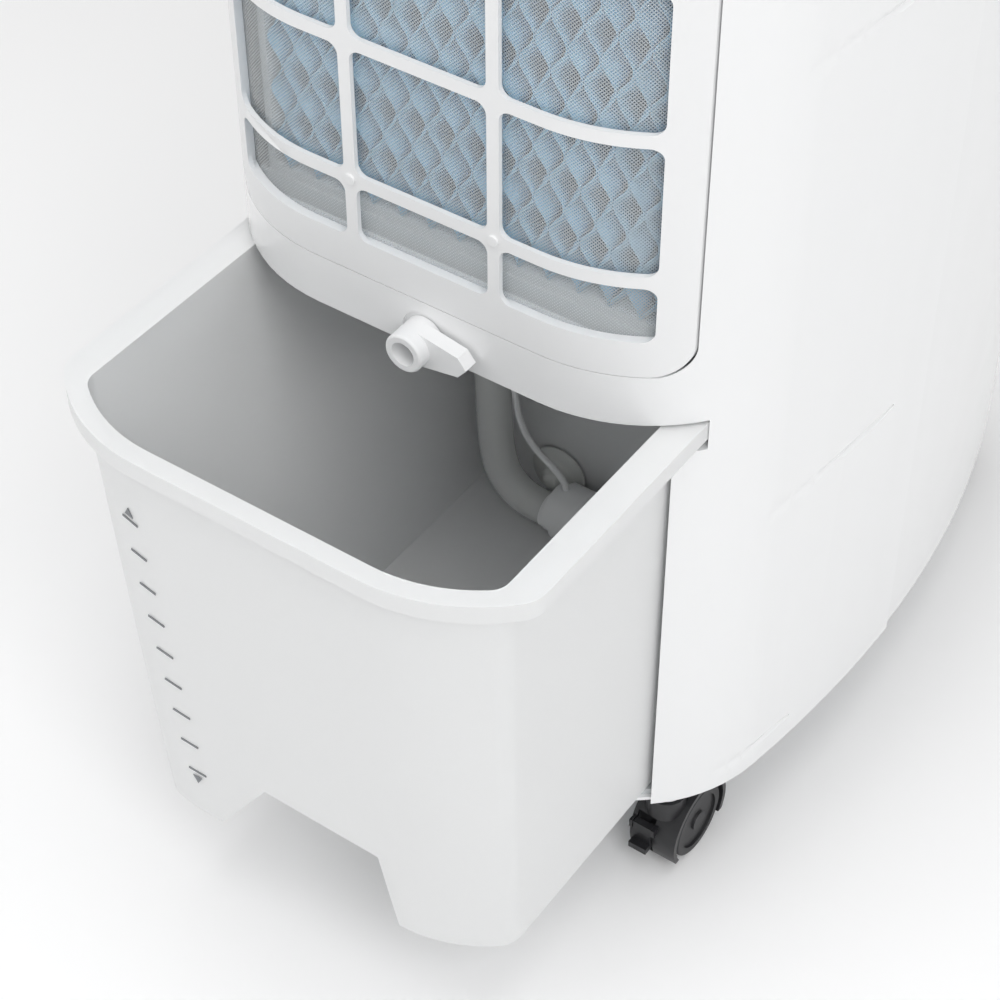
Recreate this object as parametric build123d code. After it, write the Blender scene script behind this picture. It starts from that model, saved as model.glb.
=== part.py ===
from build123d import *
import math
import os

# Evaporative cooler, millimetres, +Z up, standing on four casters at z = 0.
# The rear, with the air filter and the water tank, faces +Y; the air outlet faces -Y.
# Inside this file y = 0 is the rear face of the housing; the origin is moved to the
# middle of the footprint when each piece is written.
# The water tank is modelled drawn out to its stop.

# ---------------------------------------------------------------- driving sizes
# plan outline of the housing
HALF_WIDTH = 143.5            # greatest half width
WIDEST_Y = -180.0             # where the housing is widest, and where its two shells meet
REAR_FLAT = 55.0              # half width of the flat stretch of the rear
REAR_CORNER_R = 80.0          # large rear corner
FRONT_SIDE_R = 520.0          # long bow of the front half's sides
FRONT_CORNER_R = 70.0         # front corner
FRONT_SIDE_SWEEP = 22.0       # degrees that the front side bow turns through

# heights
BASE_Z = 52.0                 # underside of the housing
SKIRT_Z = 288.5               # lower edge of the band under the filter
SILL_Z = 313.2                # upper edge of that band, where the filter stands
COVER_Z = 634.0               # joint between the shells and the top cover
TOP_Z = 700.0                 # overall height

# walls and gaps
SHELL_WALL = 2.5
FRONT_STEP = 1.5              # the front shell stands this far inside the rear shell's line
SEAM = 0.15                   # half of the joint between two shells
GAP = 0.3                     # clearance between pieces that move apart
TRIM_GAP = 0.4                # clearance round trims and lids
COVER_FILLET = 16.0           # rounding of the lid's edge
FLANGE_THICK = 2.0            # flange at the foot of the shells
PAN_THICK = 3.5
GROOVE_SECTIONS = 7           # teardrop grooves in the sides
GROOVE_WIDTH = 11.0
GROOVE_DEPTH = 1.7
GROOVES = ((66.5, -92.0, -42.0), (221.7, -150.0, -60.0), (445.0, -150.0, -58.0))  # height, tip, tail

# tank bay and tank
BAY_HALF = 107.5              # half width between the bay walls
BAY_WALL = 2.0
POST_DEPTH = 46.0             # posts at the sides of the bay's mouth
RECESS_LOW_Z = 273.0          # where the posts step out for the tank's rim
TANK_FLOOR_Z = 60.0           # underside of the tank
TANK_RIM_Z = 287.0            # top of the tank's rim
RIM_HEIGHT = 9.0
RIM_HALF = 117.0              # half width over the rim
RIM_TOP_WIDTH = 11.0          # rim width along the rear
RIM_CORNER_R = 14.0
MOUTH_HALF = 102.0            # half width of the tank's mouth
TANK_LENGTH = 281.0
TANK_CORNER_R = 12.0          # upright corners of the tank
TANK_WALL = 2.6
TANK_TOP_HALF = 105.2         # half width of the tank under its rim
TANK_LOW_LEFT = 80.0          # tank side at +X, at the floor: this side leans in strongly
TANK_LOW_RIGHT = 104.0        # tank side at -X, at the floor
TANK_TOP_INSET = 6.0          # rear face of the tank behind its rim, at the top
TANK_LOW_INSET = 12.0         # and at the floor
TANK_END_TOP = 3.0            # inner end behind the rim, at the top
TANK_END_LOW = 6.0            # and at the floor
PULL_OUT = 118.0              # travel of the tank
GRIP_DEPTH = 46.0             # finger recess under the tank's rear edge
GRIP_HEIGHT = 43.0
MARK_COUNT = 9                # strokes of the level scale
MARK_TOP_Z = 240.0
MARK_LOW_Z = 89.0
MARK_LENGTH = 10.0
MARK_PROUD = 0.35

# filter and pad
FILTER_HALF = 112.0
FILTER_GAP = 0.9              # shadow gap beside the filter frame
FILTER_THICK = 4.0
FILTER_CORNER_R = 14.0
BAR_WIDTH = 5.6
BAR_THICK = 2.2
WEB_THICK = 1.8                # skin that fills the window's lower corners
WINDOW_HALF = 100.0           # half width over the three columns of windows
MIDDLE_HALF = 31.6            # half width of the middle column
LOW_ROW_Z = 331.0             # lower edge of the lowest, short row
ROW_BASE_Z = 362.9            # lower edge of the first full row
ROW_HEIGHT = 58.3
ROW_PITCH = 63.9
FULL_ROWS = 4
MESH_THICK = 0.6
PAD_REAR_Y = -28.0
PAD_DEPTH = 42.0
PAD_HALF = 98.0
PAD_FLOOR_Z = 324.0
PAD_TOP_Z = 626.0
PAD_FRAME_WALL = 4.0
TRAY_HALF = 106.0
TRAY_FLOOR_Z = 292.5
TRAY_TOP_Z = 320.0
DECK_Z = 290.0
DECK_THICK = 2.5
DRAIN_R = 7.0

# tank latch
LATCH_Z = 296.7
LATCH_HUB_R = 9.0
LATCH_REACH = 27.0
LATCH_PROUD = 15.0
LATCH_SHAFT_R = 3.4
RUN_CLEAR = 0.05              # radial running clearance of shafts and pins

# air outlet, louvres and vanes
OUTLET_HALF = 78.0
OUTLET_LOW_Z = 525.0
OUTLET_TOP_Z = 630.0
OUTLET_WALL = 3.0
OUTLET_REAR_Y = -352.0
LOUVRE_COUNT = 5
LOUVRE_Y = -394.0
LOUVRE_CHORD = 20.0
LOUVRE_THICK = 2.2
LOUVRE_PITCH = 19.0
VANE_COUNT = 5
VANE_Y = -366.0
VANE_CHORD = 17.0
VANE_THICK = 1.8
VANE_PITCH = 28.0
PIN_R = 1.5
LINK_ARM = 7.0                # from a blade's pivot to its link pin
LINK_PIN_R = 1.0
LINK_SLOT = 1.6               # half width of the slots in the links
LINK_THICK = 1.8
TIE_X = 60.0                  # place of the louvres' link

# blower
FAN_Y = -302.0
FAN_Z = 577.5
FAN_R = 41.0
FAN_HALF = 69.0
FAN_BLADES = 24
CASING_R = 45.0
CASING_WALL = 2.0
MOTOR_R = 27.0
MOTOR_LENGTH = 26.0
FAN_SHAFT_R = 3.0

# casters
WHEEL_R = 19.0
WHEEL_WIDTH = 8.0
WHEEL_OUTER = 11.8            # from the caster's middle to a wheel's outer face
TRAIL = 12.4
STEM_R = 4.0
STEM_TOP_Z = 57.6
HOOD_TOP_Z = 46.6
HOOD_R = 23.5                 # outer radius of the wheel cover
HOOD_WALL = 2.6
HOOD_LOW_Z = 8.0
BRAKE_LEFT = 0.2              # brake tab, from the caster's middle
BRAKE_RIGHT = 9.8
BRAKE_PIN_R = 1.2
AXLE_R = 2.5
REAR_CASTER_X = 107.0
REAR_CASTER_Y = -35.0
FRONT_CASTER_X = 88.0
FRONT_CASTER_Y = -345.0

# pump and hose
PUMP_X = 20.0                 # the pump's outlet side
PUMP_R = 15.0
NOZZLE_X = PUMP_X + 8.0
CUP_X = 34.0
CUP_R = 16.0
HOSE_R = 9.0
HOSE_WALL = 2.0
LEAD_R = 1.7
HOSE_TOP_X = 60.0
HOSE_TOP_Y = -132.0
LEAD_TOP_X = 47.0
SPIGOT_R = HOSE_R - HOSE_WALL

# control panel
PANEL_Y = -318.0
PANEL_HALF_X = 76.0
PANEL_HALF_Y = 36.0
BUTTON_R = 7.0
BUTTON_PITCH = 28.0
BUTTON_TRAVEL = 0.8
BUTTON_COUNT = 5

SCREW_R = 1.9
SCREW_HEAD_R = 3.8
SCREW_INSET = 9.0             # screws stand this far inside the housing's line
SOCKET_R = 8.0                # caster socket in the base pan
GLAND_X = 86.0                # mains lead grommet
GLAND_Z = 656.0
GLAND_R = 6.0
CORD_HOLE_R = 3.7

# places that follow from the sizes above
JAMB = FILTER_HALF + FILTER_GAP
RAIL_OUTER = RIM_HALF + TRIM_GAP
RAIL_TOP_Z = TANK_RIM_Z - RIM_HEIGHT - GAP
PAN_LOW_Z = BASE_Z + FLANGE_THICK
PAN_TOP_Z = PAN_LOW_Z + PAN_THICK
BAY_REAR_Y = -POST_DEPTH - 0.5
BAY_END_Y = -TANK_LENGTH - 2.0
DRAIN_Y = PAD_REAR_Y - PAD_DEPTH / 2.0
PUMP_END_Y = PULL_OUT - TANK_LENGTH + TANK_END_LOW + TANK_WALL
PUMP_Z = TANK_FLOOR_Z + TANK_WALL + PUMP_R + 3.0
PUMP_Y = PUMP_END_Y + PUMP_R + 6.0
NOZZLE_Z = PUMP_Z - 5.0
VANE_LOW_Z = OUTLET_LOW_Z + OUTLET_WALL + 3.4
VANE_TOP_Z = OUTLET_TOP_Z - OUTLET_WALL - 0.6
PLATE_X = FAN_HALF + 2.0
PANEL_UNDER_Z = TOP_Z - SHELL_WALL - 2.5
BOARD_TOP_Z = PANEL_UNDER_Z - 5.2
BUTTON_Y = PANEL_Y - 18.0

# ---------------------------------------------------------------- plan outline
# Four arcs, each tangent to the next, run from the flat rear round to the flat front.
CORNER = (REAR_FLAT, -REAR_CORNER_R)
_reach = HALF_WIDTH - REAR_FLAT - REAR_CORNER_R
_drop = -WIDEST_Y - REAR_CORNER_R
SIDE_R = REAR_CORNER_R + (_drop ** 2 + _reach ** 2) / (2.0 * _reach)
SIDE = (HALF_WIDTH - SIDE_R, WIDEST_Y)
CORNER_END = math.degrees(math.atan2(CORNER[1] - SIDE[1], CORNER[0] - SIDE[0]))
BOW = (HALF_WIDTH - FRONT_SIDE_R, WIDEST_Y)
_turn = math.radians(FRONT_SIDE_SWEEP)
NOSE = (
    BOW[0] + (FRONT_SIDE_R - FRONT_CORNER_R) * math.cos(_turn),
    BOW[1] - (FRONT_SIDE_R - FRONT_CORNER_R) * math.sin(_turn),
)
FRONT_Y = NOSE[1] - FRONT_CORNER_R
Y_SHIFT = -(FRONT_Y + PULL_OUT) / 2.0


def on_circle(centre, radius, degrees):
    """Point of a circle at an angle from +X."""
    turn = math.radians(degrees)
    return (centre[0] + radius * math.cos(turn), centre[1] + radius * math.sin(turn))


def arc(centre, radius, start, end):
    """Arc of a circle between two angles."""
    middle = (start + end) / 2.0
    return ThreePointArc(
        on_circle(centre, radius, start),
        on_circle(centre, radius, middle),
        on_circle(centre, radius, end),
    )


def outline(inset=0.0):
    """Plan of the housing, drawn inwards by inset."""
    right = [
        Line((0, -inset), (REAR_FLAT, -inset)),
        arc(CORNER, REAR_CORNER_R - inset, 90.0, CORNER_END),
        arc(SIDE, SIDE_R - inset, CORNER_END, 0.0),
        arc(BOW, FRONT_SIDE_R - inset, 0.0, -FRONT_SIDE_SWEEP),
        arc(NOSE, FRONT_CORNER_R - inset, -FRONT_SIDE_SWEEP, -90.0),
        Line((NOSE[0], FRONT_Y + inset), (0, FRONT_Y + inset)),
    ]
    left = [edge.mirror(Plane.YZ) for edge in right]
    return make_face(right + left)


def prism(inset, low, high):
    """Upright body of the housing's plan between two heights."""
    return extrude(Pos(0, 0, low) * outline(inset), high - low)


def block(x0, x1, y0, y1, z0, z1):
    """Box between two opposite corners."""
    size = Box(x1 - x0, y1 - y0, z1 - z0)
    return Pos((x0 + x1) / 2.0, (y0 + y1) / 2.0, (z0 + z1) / 2.0) * size


def both(shape):
    """A shape and its mirror image across the middle plane."""
    return shape + mirror(shape, Plane.YZ)


def rod_x(x0, x1, y, z, radius):
    """Round bar along X."""
    return Pos((x0 + x1) / 2.0, y, z) * Rot(0, 90, 0) * Cylinder(radius, x1 - x0)


def rod_y(y0, y1, x, z, radius):
    """Round bar along Y."""
    return Pos(x, (y0 + y1) / 2.0, z) * Rot(90, 0, 0) * Cylinder(radius, y1 - y0)


def rod_z(z0, z1, x, y, radius):
    """Round bar along Z."""
    return Pos(x, y, (z0 + z1) / 2.0) * Cylinder(radius, z1 - z0)


def side_x(y, inset=0.0):
    """Half width of the housing at a given y, between its rear and front corners."""
    if y < WIDEST_Y:
        radius = FRONT_SIDE_R - inset
        return BOW[0] + math.sqrt(radius ** 2 - (y - BOW[1]) ** 2)
    if y > CORNER[1] + REAR_CORNER_R * math.sin(math.radians(CORNER_END)):
        radius = REAR_CORNER_R - inset
        return CORNER[0] + math.sqrt(radius ** 2 - (y - CORNER[1]) ** 2)
    radius = SIDE_R - inset
    return SIDE[0] + math.sqrt(radius ** 2 - (y - SIDE[1]) ** 2)


def rear_y(x, inset=0.0):
    """Place of the rear face at a given distance from the middle."""
    if abs(x) <= REAR_FLAT:
        return -inset
    radius = REAR_CORNER_R - inset
    return CORNER[1] + math.sqrt(radius ** 2 - (abs(x) - REAR_FLAT) ** 2)


# ---------------------------------------------------------------- housing shells
def groove(height, tip_y, tail_y):
    """Teardrop groove in the side: narrow and deep at the tip, wide and shallow behind."""
    sections = []
    for step in range(GROOVE_SECTIONS):
        share = step / (GROOVE_SECTIONS - 1)
        y = tip_y + (tail_y - tip_y) * share
        width = 1.5 + (GROOVE_WIDTH - 1.5) * share
        depth = GROOVE_DEPTH * (1.0 - share) + 0.25
        spread = width / 2.0 * (depth + 1.0) / depth
        outer = side_x(y) + 1.0
        corners = [
            (outer, y, height + spread),
            (outer, y, height - spread),
            (side_x(y) - depth, y, height - width * 0.2),
        ]
        sections.append(Face(Wire.make_polygon(corners)))
    return loft(sections, ruled=True)


def rear_shell():
    """Rear and side walls: filter window, band with the latch hole and bay posts."""
    ring = prism(0, BASE_Z, COVER_Z) - prism(SHELL_WALL, BASE_Z - 1, COVER_Z + 1)
    behind_seam = block(-200, 200, WIDEST_Y + SEAM, 50, 0, TOP_Z)
    ring = ring & behind_seam
    ring -= block(-BAY_HALF, BAY_HALF, -60, 50, BASE_Z - 1, SKIRT_Z)
    ring -= block(-JAMB, JAMB, -60, 50, SILL_Z, COVER_Z + 1)
    ring -= both(block(BAY_HALF - 1, RAIL_OUTER, -POST_DEPTH, 50, RECESS_LOW_Z, SKIRT_Z))
    solid = prism(0, BASE_Z, COVER_Z) & behind_seam
    wall = SHELL_WALL
    folds = both(block(JAMB, JAMB + wall, -60, 0, SILL_Z - wall, COVER_Z))
    folds += both(block(BAY_HALF, BAY_HALF + wall, -POST_DEPTH, 0, TANK_FLOOR_Z, RECESS_LOW_Z))
    folds += both(block(BAY_HALF, RAIL_OUTER + wall, -POST_DEPTH, 0, RECESS_LOW_Z - wall, RECESS_LOW_Z))
    folds += both(block(RAIL_OUTER, RAIL_OUTER + wall, -POST_DEPTH, 0, RECESS_LOW_Z, SKIRT_Z + wall))
    folds += block(-RAIL_OUTER, RAIL_OUTER, -14, 0, SKIRT_Z, SKIRT_Z + wall)
    folds += block(-JAMB, JAMB, -25, 0, SILL_Z - wall, SILL_Z)
    corner_z = SILL_Z + TRIM_GAP + FILTER_CORNER_R
    corner_x = FILTER_HALF - FILTER_CORNER_R
    web = prism(0, SILL_Z - 1, corner_z) - prism(WEB_THICK, SILL_Z - 2, corner_z + 1)
    web &= both(block(corner_x, JAMB + 1, -60, 50, SILL_Z - 1, corner_z))
    web -= both(rod_y(-60, 50, corner_x, corner_z, FILTER_CORNER_R + FILTER_GAP))
    shell = ring + (folds & solid) + web
    flange = prism(SHELL_WALL, BASE_Z, PAN_LOW_Z) - prism(14, BASE_Z - 1, PAN_LOW_Z + 1)
    shell += flange & behind_seam
    shell -= both(rod_z(BASE_Z - 1, BASE_Z + 3, REAR_CASTER_X, REAR_CASTER_Y, SOCKET_R + GAP))
    shell += rod_y(-8, -SHELL_WALL, 0, LATCH_Z, 8)
    shell -= rod_y(-10, 1, 0, LATCH_Z, LATCH_SHAFT_R + RUN_CLEAR)
    shell -= rod_y(-0.8, 1, 0, LATCH_Z, LATCH_HUB_R + 2.0)
    shell = drilled(shell)
    for height, tip, tail in GROOVES:
        shell -= both(groove(height, tip, tail))
    return shell


def front_shell():
    """Front half of the housing, with the air outlet's opening."""
    ring = prism(FRONT_STEP, BASE_Z, COVER_Z) - prism(FRONT_STEP + SHELL_WALL, BASE_Z - 1, COVER_Z + 1)
    flange = prism(FRONT_STEP + SHELL_WALL, BASE_Z, PAN_LOW_Z) - prism(16, BASE_Z - 1, PAN_LOW_Z + 1)
    shell = (ring + flange) & block(-200, 200, FRONT_Y - 50, WIDEST_Y - SEAM, 0, TOP_Z)
    edge = OUTLET_HALF + TRIM_GAP
    low = OUTLET_LOW_Z - TRIM_GAP
    high = OUTLET_TOP_Z + TRIM_GAP
    shell -= block(-edge, edge, FRONT_Y - 50, FRONT_Y + 60, low, high)
    return drilled(shell)


def caster_places():
    """Name, x and y of each caster's stem, and whether it has a brake."""
    return [
        ("rear_left", REAR_CASTER_X, REAR_CASTER_Y, True),
        ("rear_right", -REAR_CASTER_X, REAR_CASTER_Y, True),
        ("front_left", FRONT_CASTER_X, FRONT_CASTER_Y, False),
        ("front_right", -FRONT_CASTER_X, FRONT_CASTER_Y, False),
    ]


def base_pan():
    """Floor of the housing, with the four caster sockets."""
    pan = prism(FRONT_STEP + SHELL_WALL + TRIM_GAP, PAN_LOW_Z, PAN_TOP_Z)
    for _, x, y, _ in caster_places():
        pan += rod_z(HOOD_TOP_Z + 0.6, TANK_FLOOR_Z - 0.6, x, y, SOCKET_R)
    for _, x, y, _ in caster_places():
        pan -= rod_z(HOOD_TOP_Z, STEM_TOP_Z + 0.3, x, y, STEM_R + RUN_CLEAR)
    return drilled(pan)


def bay_wall(side):
    """Side of the tank bay, with the channel that the tank's rim runs in."""
    wall = BAY_WALL
    high = DECK_Z
    piece = block(BAY_HALF, BAY_HALF + wall, BAY_END_Y, BAY_REAR_Y, PAN_TOP_Z, RAIL_TOP_Z)
    piece += block(BAY_HALF, RAIL_OUTER + wall, BAY_END_Y, BAY_REAR_Y, RAIL_TOP_Z - wall, RAIL_TOP_Z)
    piece += block(RAIL_OUTER, RAIL_OUTER + wall, BAY_END_Y, BAY_REAR_Y, RAIL_TOP_Z - wall, high)
    piece += block(BAY_HALF + 1, RAIL_OUTER + wall, BAY_END_Y, BAY_REAR_Y, TANK_RIM_Z + 1.2, high)
    if side < 0:
        piece = mirror(piece, Plane.YZ)
    return piece


def bay_back_wall():
    """Wall between the tank bay and the front of the housing."""
    edge = RAIL_OUTER + BAY_WALL
    return block(-edge, edge, BAY_END_Y - BAY_WALL, BAY_END_Y, PAN_TOP_Z, DECK_Z)


def bay_deck():
    """Shelf over the tank, which carries the drip tray and the pad."""
    edge = RAIL_OUTER + BAY_WALL
    deck = block(-edge, edge, BAY_END_Y - BAY_WALL, BAY_REAR_Y, DECK_Z, DECK_Z + DECK_THICK)
    deck += block(-92, 92, BAY_REAR_Y, -27, DECK_Z, DECK_Z + DECK_THICK)
    deck -= rod_z(DECK_Z - 1, DECK_Z + 5, HOSE_TOP_X, HOSE_TOP_Y, SPIGOT_R + 0.1)
    deck -= rod_z(DECK_Z - 1, DECK_Z + 5, LEAD_TOP_X, HOSE_TOP_Y, LEAD_R + 0.5)
    deck -= rod_z(DECK_Z - 1, DECK_Z + 5, 0, DRAIN_Y, DRAIN_R + TRIM_GAP)
    return deck


def drip_tray():
    """Tray under the pad, whose spout lets the water fall back into the tank."""
    low = TRAY_FLOOR_Z
    rear = PAD_REAR_Y + 1.0
    front = PAD_REAR_Y - PAD_DEPTH - 12.0
    tray = block(-TRAY_HALF, TRAY_HALF, front, rear, low, TRAY_TOP_Z)
    tray -= block(-TRAY_HALF + 2, TRAY_HALF - 2, front + 2, rear - 2, low + 2, TRAY_TOP_Z + 1)
    tray += rod_z(DECK_Z - 0.5, low + 2, 0, DRAIN_Y, DRAIN_R)
    tray -= rod_z(DECK_Z - 2, low + 3, 0, DRAIN_Y, DRAIN_R - 1.5)
    return tray


def pad_frame():
    """Open frame that holds the cooling pad."""
    wall = PAD_FRAME_WALL
    half = PAD_HALF + wall
    front = PAD_REAR_Y - PAD_DEPTH
    frame = block(-half, half, front - 2, PAD_REAR_Y - 0.5, TRAY_TOP_Z, PAD_TOP_Z + wall)
    frame -= block(-PAD_HALF, PAD_HALF, front, PAD_REAR_Y, PAD_FLOOR_Z, PAD_TOP_Z)
    frame -= block(-PAD_HALF + 6, PAD_HALF - 6, front - 5, front + 1, PAD_FLOOR_Z + 6, PAD_TOP_Z - 6)
    frame += both(block(half - 1, TRAY_HALF, front + 10, front + 20, TRAY_TOP_Z, PAD_TOP_Z))
    return frame


def cooling_pad():
    """Solid envelope of the corrugated paper pad."""
    front = PAD_REAR_Y - PAD_DEPTH
    return block(-PAD_HALF, PAD_HALF, front, PAD_REAR_Y - 1.5, PAD_FLOOR_Z, PAD_TOP_Z)


def water_distributor():
    """Trough over the pad, with a row of drip holes."""
    low = PAD_TOP_Z + PAD_FRAME_WALL
    rear = PAD_REAR_Y - 2.0
    front = PAD_REAR_Y - PAD_DEPTH + 2.0
    trough = block(-PAD_HALF, PAD_HALF, front, rear, low, low + 15)
    trough -= block(-PAD_HALF + 2, PAD_HALF - 2, front + 2, rear - 2, low + 2, low + 20)
    middle = (rear + front) / 2.0
    for step in range(-4, 5):
        trough -= rod_z(low - 1, low + 3, step * 20.0, middle, 1.6)
    trough -= rod_y(front - 1, front + 3, HOSE_TOP_X, low + 8, 3.5)
    return trough


# ---------------------------------------------------------------- filter
def window_columns():
    """Left and right edges of the three columns of windows."""
    side = MIDDLE_HALF + BAR_WIDTH
    return [(-WINDOW_HALF, -side), (-MIDDLE_HALF, MIDDLE_HALF), (side, WINDOW_HALF)]


def window_rows():
    """Lower and upper edges of the rows of windows."""
    rows = [(LOW_ROW_Z, ROW_BASE_Z - BAR_WIDTH)]
    for step in range(FULL_ROWS):
        low = ROW_BASE_Z + step * ROW_PITCH
        rows.append((low, low + ROW_HEIGHT))
    return rows


def filter_plate(outer, thick, half, low, high, corner):
    """Bowed plate with rounded corners that follows the housing's rear."""
    body = prism(outer, low, high) - prism(outer + thick, low - 1, high + 1)
    height = high - low
    shape = RectangleRounded(2 * half, height, corner)
    cut = extrude(Pos(0, 50, (low + high) / 2.0) * Rot(90, 0, 0) * shape, 110)
    return body & cut


def filter_frame():
    """Removable frame with its grid of bars."""
    low = SILL_Z + TRIM_GAP
    high = COVER_Z - TRIM_GAP
    frame = filter_plate(0, FILTER_THICK, FILTER_HALF, low, high, FILTER_CORNER_R)
    for x0, x1 in window_columns():
        for z0, z1 in window_rows():
            shape = RectangleRounded(x1 - x0, z1 - z0, 5.0)
            place = Pos((x0 + x1) / 2.0, 10, (z0 + z1) / 2.0) * Rot(90, 0, 0)
            frame -= extrude(place * shape, 60)
    top = window_rows()[-1][1]
    relief = block(-WINDOW_HALF, WINDOW_HALF, -60, 50, LOW_ROW_Z, top)
    frame -= prism(BAR_THICK, low - 1, high + 1) & relief
    for x in (-MIDDLE_HALF - BAR_WIDTH / 2.0, MIDDLE_HALF + BAR_WIDTH / 2.0):
        frame += rod_y(-2, 0.9, x, ROW_BASE_Z - BAR_WIDTH / 2.0, 2.4)
    return frame


def filter_mesh():
    """Fine dust screen behind the frame's windows."""
    half = WINDOW_HALF + 5.0
    low = LOW_ROW_Z - 5.0
    high = ROW_BASE_Z + (FULL_ROWS - 1) * ROW_PITCH + ROW_HEIGHT + 5.0
    return filter_plate(FILTER_THICK, MESH_THICK, half, low, high, 4.0)


# ---------------------------------------------------------------- tank
def tank_section(left, right, inset, end_y, height):
    """Plan of the tank at one height: flat inner end, straight sides, bowed rear."""
    radius = REAR_CORNER_R - inset
    turn_left = math.degrees(math.asin((left - REAR_FLAT) / radius))
    turn_right = math.degrees(math.asin((right - REAR_FLAT) / radius))
    other = (-CORNER[0], CORNER[1])
    edges = [
        Line((-REAR_FLAT, -inset), (REAR_FLAT, -inset)),
        arc(CORNER, radius, 90.0, 90.0 - turn_left),
        Line((left, rear_y(left, inset)), (left, end_y)),
        Line((left, end_y), (-right, end_y)),
        Line((-right, end_y), (-right, rear_y(right, inset))),
        arc(other, radius, 90.0 + turn_right, 90.0),
    ]
    return Pos(0, 0, height) * make_face(edges)


def rounded_uprights(body, radius):
    """A tank body with its four upright corners rounded."""
    tall = [edge for edge in body.edges() if edge.bounding_box().size.Z > RIM_HEIGHT]
    corners = [edge for edge in tall if abs(edge.center().X) > REAR_FLAT + 10]
    return fillet(corners, radius)


def tank():
    """Water tank with its rim, leaning sides and finger recess."""
    rim_low = TANK_RIM_Z - RIM_HEIGHT
    top_end = -TANK_LENGTH + TANK_END_TOP
    low_end = -TANK_LENGTH + TANK_END_LOW
    outer_low = tank_section(TANK_LOW_LEFT, TANK_LOW_RIGHT, TANK_LOW_INSET, low_end, TANK_FLOOR_Z)
    outer_top = tank_section(TANK_TOP_HALF, TANK_TOP_HALF, TANK_TOP_INSET, top_end, TANK_RIM_Z)
    outer = rounded_uprights(loft([outer_low, outer_top], ruled=True), TANK_CORNER_R)
    wall = TANK_WALL
    floor = TANK_FLOOR_Z + wall
    lean = (TANK_TOP_HALF - TANK_LOW_LEFT) / (TANK_RIM_Z - TANK_FLOOR_Z)
    rise = wall * lean
    inner_low = tank_section(
        TANK_LOW_LEFT - wall + rise, TANK_LOW_RIGHT - wall, TANK_LOW_INSET + wall, low_end + wall, floor
    )
    inner_top = tank_section(
        TANK_TOP_HALF - wall, TANK_TOP_HALF - wall, TANK_TOP_INSET + wall, top_end + wall, TANK_RIM_Z + 1
    )
    inner = rounded_uprights(loft([inner_low, inner_top], ruled=True), TANK_CORNER_R - wall)
    rim = prism(0, rim_low, TANK_RIM_Z)
    rim = rim & block(-RIM_HALF, RIM_HALF, -TANK_LENGTH, 10, rim_low, TANK_RIM_Z)
    for side in (-RIM_HALF, RIM_HALF):
        uprights = rim.edges().filter_by(Axis.Z).filter_by_position(Axis.X, side - 0.1, side + 0.1)
        rim = fillet(uprights.sort_by(Axis.Y)[-1:], RIM_CORNER_R)
    mouth = prism(RIM_TOP_WIDTH, rim_low + 2.5, TANK_RIM_Z + 1)
    mouth = mouth & block(
        -MOUTH_HALF, MOUTH_HALF, -TANK_LENGTH + 12, 10, rim_low - 1, TANK_RIM_Z + 1
    )
    mouth = fillet(mouth.edges().filter_by(Axis.Z).filter_by(lambda e: abs(e.center().X) > MOUTH_HALF - 1), 7.0)
    rim -= mouth
    body = (outer + rim) - inner
    rise_low = TANK_FLOOR_Z - 1.0
    grip = grip_shape(0.0, rise_low)
    grip_wall = grip_shape(wall, rise_low) & outer
    body = (body + grip_wall) - grip
    return Pos(0, PULL_OUT, 0) * body


def grip_shape(grow, low):
    """Tapered block that forms the finger recess, made larger by grow."""
    high = TANK_FLOOR_Z + GRIP_HEIGHT + grow
    corners = [(-57 - grow, low), (44 + grow, low), (14 + grow, high), (-48 - grow, high)]
    face = Face(Wire.make_polygon([(x, 0, z) for x, z in corners]))
    front = -TANK_LOW_INSET - GRIP_DEPTH - grow
    return Pos(0, front, 0) * extrude(face, -front + 20, dir=(0, 1, 0))


def tank_face_y(x, z):
    """Rear face of the drawn-out tank at a point."""
    share = (z - TANK_FLOOR_Z) / (TANK_RIM_Z - TANK_FLOOR_Z)
    inset = TANK_LOW_INSET + (TANK_TOP_INSET - TANK_LOW_INSET) * share
    return PULL_OUT + rear_y(x, inset)


def mark_place(x, z, tip):
    """Place on the tank's rear face where a flat mark just clears the curve."""
    start = tank_face_y(x, z)
    slope = (start - tank_face_y(x - MARK_LENGTH, z)) / MARK_LENGTH
    rise = 0.0
    for share in (0.0, 0.25, 0.5, 0.75, 1.0):
        along = MARK_LENGTH * share
        for height in (z, z + tip):
            rise = max(rise, tank_face_y(x - along, height) - start + slope * along)
    middle = start - slope * MARK_LENGTH / 2.0 + rise + MARK_PROUD / 2.0 + 0.04
    return Pos(x - MARK_LENGTH / 2.0, middle, z) * Rot(0, 0, math.degrees(math.atan(slope)))


def level_marks():
    """Printed level scale: a full line, an empty line, ticks and two pointers."""
    marks = []
    for step in range(MARK_COUNT):
        share = step / (MARK_COUNT - 1)
        z = MARK_TOP_Z + (MARK_LOW_Z - MARK_TOP_Z) * share
        x = 75.0 - 16.0 * share
        marks.append(mark_place(x, z, 0.5) * Box(MARK_LENGTH, MARK_PROUD, 1.0))
        if step in (0, MARK_COUNT - 1):
            upward = 1 if step == 0 else -1
            base = 3.0 * upward
            tip = 7.5 * upward
            pointer = Polygon((-2.6, base), (2.6, base), (0, tip), align=None)
            solid = extrude(Pos(0, MARK_PROUD / 2.0, 0) * Rot(90, 0, 0) * pointer, MARK_PROUD)
            marks.append(mark_place(x, z, max(tip, 0.5)) * solid)
    return Compound(children=marks)


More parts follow.
